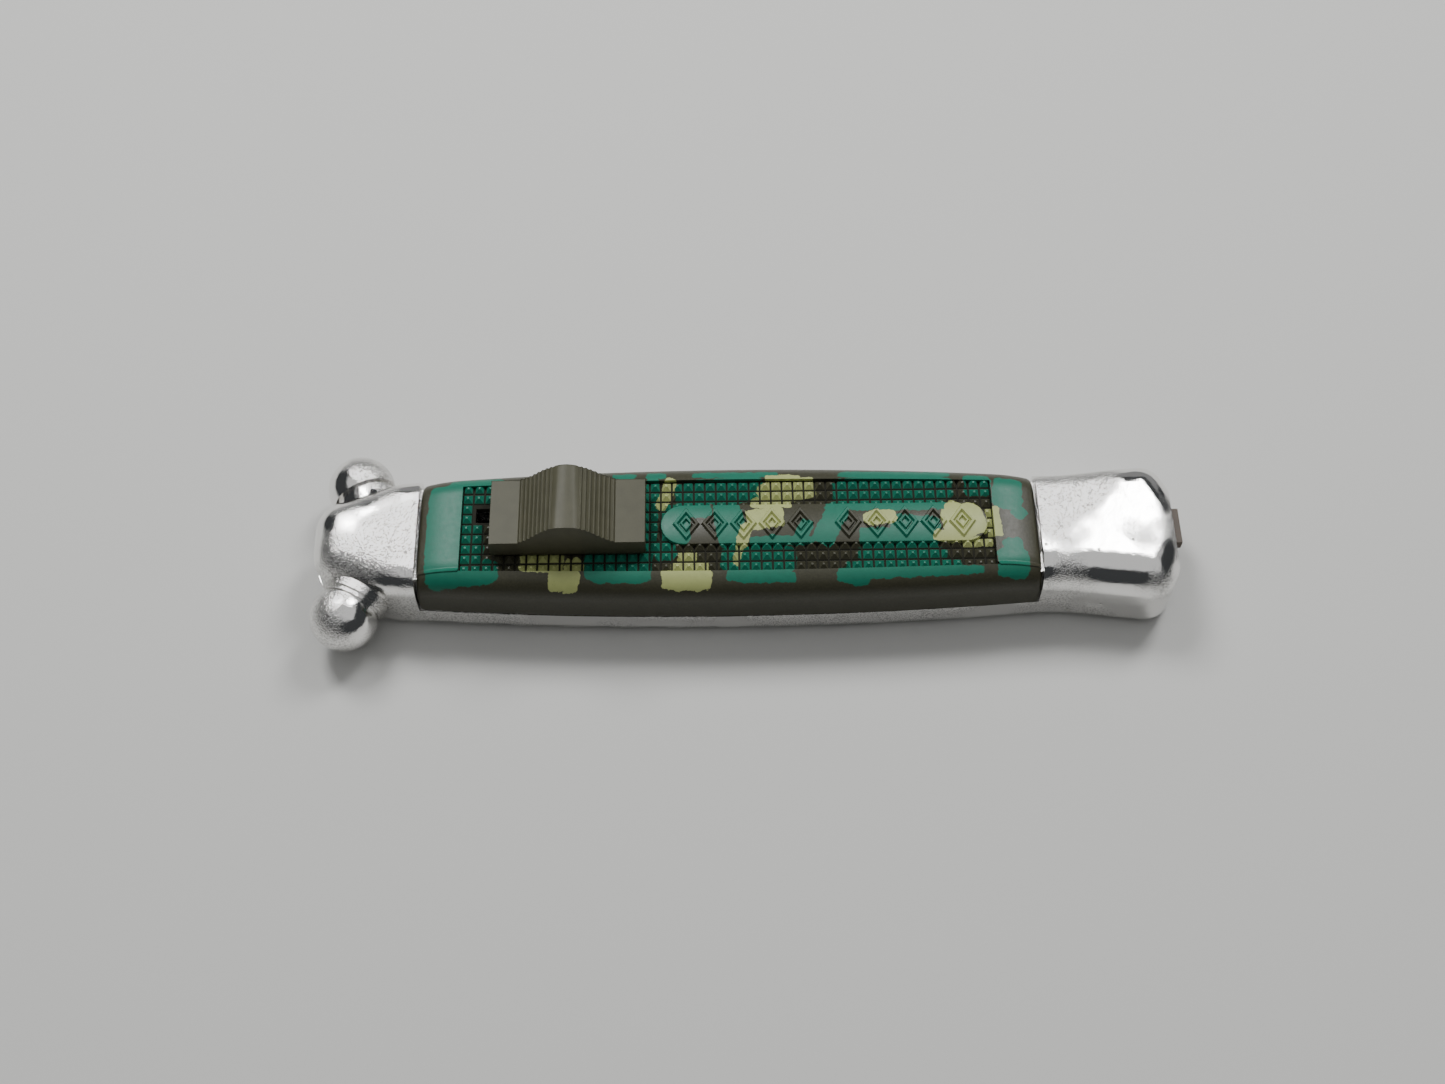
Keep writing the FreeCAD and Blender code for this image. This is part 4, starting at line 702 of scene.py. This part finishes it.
def scale_material():
    """Brown plastic with teal and cream patches printed on whatever stands up from the grooves."""
    g = Graph("camouflage_print")
    noise = g.node("ShaderNodeTexNoise", Vector=g.place, Scale=0.7, Detail=4.0, Roughness=0.65)
    ragged = noise.outputs["Color"]
    warp = g.vector("SCALE", g.vector("SUBTRACT", ragged, (0.5, 0.5, 0.5)), Scale=1.1)
    place = g.vector("ADD", g.place, warp)
    sunk = groove_mask(g)
    raised = g.math("SUBTRACT", 1.0, sunk)
    teal = g.math("MULTIPLY", patch_mask(g, place, TEAL_PATCHES), raised)
    cream = g.math("MULTIPLY", patch_mask(g, place, CREAM_PATCHES), raised)
    fleck = g.fit(g.noise(3.5, 3.0), 0.35, 0.7)
    brown = g.mix(fleck, shade(BROWN, 0.86), shade(BROWN, 1.14))
    # Painted shade keeps the grooves of the field dark.
    brown = g.mix(sunk, brown, shade(BROWN, 0.35))
    green = g.mix(g.noise(1.1, 3.0), shade(TEAL, 0.86), shade(TEAL, 1.16))
    pale = g.mix(g.noise(1.3, 3.0), shade(CREAM, 0.88), shade(CREAM, 1.08))
    # Thin printing: a little of the plastic shows through in specks.
    thin = g.math("MULTIPLY", g.fit(g.noise(6.0, 2.0), 0.68, 0.76), 0.5)
    cover = g.math("SUBTRACT", 1.0, thin)
    colour = g.mix(g.math("MULTIPLY", teal, cover), brown, green)
    colour = g.mix(g.math("MULTIPLY", cream, cover), colour, pale)
    painted = g.math("MAXIMUM", teal, cream)
    roughness = g.math("MULTIPLY_ADD", g.noise(1.7, 3.0), 0.14, 0.30)
    roughness = g.math("MULTIPLY_ADD", painted, 0.05, roughness)
    roughness = g.math("MULTIPLY_ADD", sunk, 0.5, roughness)
    normal = g.bump(g.noise(5.0, 3.0), 0.02, 0.5)
    return g.finish(Base_Color=colour, Roughness=roughness, Normal=normal, Specular_IOR_Level=PLASTIC_SHINE)


def plastic_material(name, colour, roughness, grain=6.0, depth=0.015):
    """A moulded plastic with slight mottling and a fine grain."""
    g = Graph(name)
    mottle = g.fit(g.noise(0.5, 3.0), 0.3, 0.7)
    base = g.mix(mottle, shade(colour, 0.92), shade(colour, 1.08))
    fine = g.noise(grain, 3.0)
    rough = g.math("MULTIPLY_ADD", fine, 0.12, roughness)
    normal = g.bump(fine, depth, 0.6)
    return g.finish(Base_Color=base, Roughness=rough, Normal=normal, Specular_IOR_Level=PLASTIC_SHINE)


def steel_material():
    """Drawn steel with fine lines along X."""
    g = Graph("bright_steel")
    stretched = g.vector("MULTIPLY", g.place, (0.25, 6.0, 6.0))
    lines = g.noise(1.0, 4.0, place=stretched)
    rough = g.math("MULTIPLY_ADD", lines, 0.18, 0.22)
    tint = g.mix(lines, STEEL_DARK, STEEL_LIGHT)
    return g.finish(Base_Color=tint, Metallic=1.0, Roughness=rough, Normal=g.bump(lines, 0.01, 0.5))


def dress_cad_nodes(frame, materials):
    """Gives each CAD node the material of its slot."""
    slots = {entry["node"]: entry["material_slot"] for entry in frame["record"]["subparts"]}
    for name, obj in frame["nodes"].items():
        obj.data.materials.clear()
        obj.data.materials.append(materials[slots[name]])


# --- Camera, light and floor ------------------------------------------------------------------------------


def aim(obj, target):
    obj.rotation_mode = "QUATERNION"
    obj.rotation_quaternion = (Vector(target) - obj.location).to_track_quat("-Z", "Y")


def add_camera():
    """Looks down on the comb from its near side, a touch turned."""
    data = bpy.data.cameras.new("camera")
    data.sensor_width, data.lens = CAMERA_SENSOR, CAMERA_LENS
    data.clip_start, data.clip_end = 0.01, 10.0
    camera = bpy.data.objects.new("camera", data)
    elevation, turn = math.radians(CAMERA_ELEVATION), math.radians(CAMERA_TURN)
    target = Vector(CAMERA_TARGET) * MM
    level = math.cos(elevation)
    back = Vector((math.sin(turn) * level, -math.cos(turn) * level, math.sin(elevation)))
    camera.location = target + back * CAMERA_DISTANCE
    camera.rotation_mode = "QUATERNION"
    camera.rotation_quaternion = (-back).to_track_quat("-Z", "Y")
    bpy.context.scene.collection.objects.link(camera)
    bpy.context.scene.camera = camera


def add_area_light(name, location, target, size, power):
    data = bpy.data.lights.new(name, "AREA")
    data.shape, data.energy = "RECTANGLE", power
    data.size, data.size_y = size
    light = bpy.data.objects.new(name, data)
    light.location = location
    aim(light, target)
    bpy.context.scene.collection.objects.link(light)


def add_studio():
    """Two softboxes behind the comb, dim panels overhead and far behind, and a dark room round them."""
    for light in LIGHTS:
        add_area_light(*light)
    world = bpy.data.worlds.new("studio")
    world.use_nodes = True
    background = world.node_tree.nodes["Background"]
    background.inputs["Color"].default_value = ROOM_COLOUR
    background.inputs["Strength"].default_value = ROOM_STRENGTH
    bpy.context.scene.world = world
    reach = FLOOR_REACH / MM
    corners = [(-reach, -reach, 0), (reach, -reach, 0), (reach, reach, 0), (-reach, reach, 0)]
    floor = make_piece("floor", corners, [(0, 1, 2, 3)])
    g = Graph("pale_floor")
    floor.data.materials.append(g.finish(Base_Color=FLOOR_COLOUR, Roughness=0.85))


# --- The scene --------------------------------------------------------------------------------------------

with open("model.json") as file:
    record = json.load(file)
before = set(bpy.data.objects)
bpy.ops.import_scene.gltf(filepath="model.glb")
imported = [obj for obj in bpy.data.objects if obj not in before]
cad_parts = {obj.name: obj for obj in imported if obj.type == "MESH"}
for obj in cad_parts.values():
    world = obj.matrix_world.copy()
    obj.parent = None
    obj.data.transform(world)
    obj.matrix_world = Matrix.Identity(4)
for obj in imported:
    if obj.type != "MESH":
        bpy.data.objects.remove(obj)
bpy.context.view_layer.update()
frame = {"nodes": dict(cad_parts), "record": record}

camouflage = scale_material()
slide_plastic = plastic_material("slide_plastic", SLIDE_COLOUR, 0.42, grain=5.0)
materials = {
    "chrome_plating": chrome_material(),
    "camouflage_print": camouflage,
    "slide_plastic": slide_plastic,
    "comb_plastic": plastic_material("comb_plastic", COMB_BLACK, 0.30),
    "carriage_plastic": plastic_material("carriage_plastic", CARRIAGE_BROWN, 0.40),
    "inner_plastic": plastic_material("inner_plastic", INNER_GREY, 0.45),
    "steel": steel_material(),
    "rubber": plastic_material("bumper_rubber", RUBBER_BLACK, 0.75, grain=3.0),
}
dress_cad_nodes(frame, materials)

ends = scale_ends()
shell = make_scale_shell(ends)
weld_seams(shell)
ride_case(shell, camouflage, replaces=["grip_scale"])
for obj in (make_pyramids(ends), make_field_floor(ends), make_plate(), make_ornament()):
    ride_case(obj, camouflage)

button = make_thumb_slide()
button.data.materials.append(slide_plastic)
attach(button, "thumb_slide_body")
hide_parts("thumb_slide")

add_camera()
add_studio()
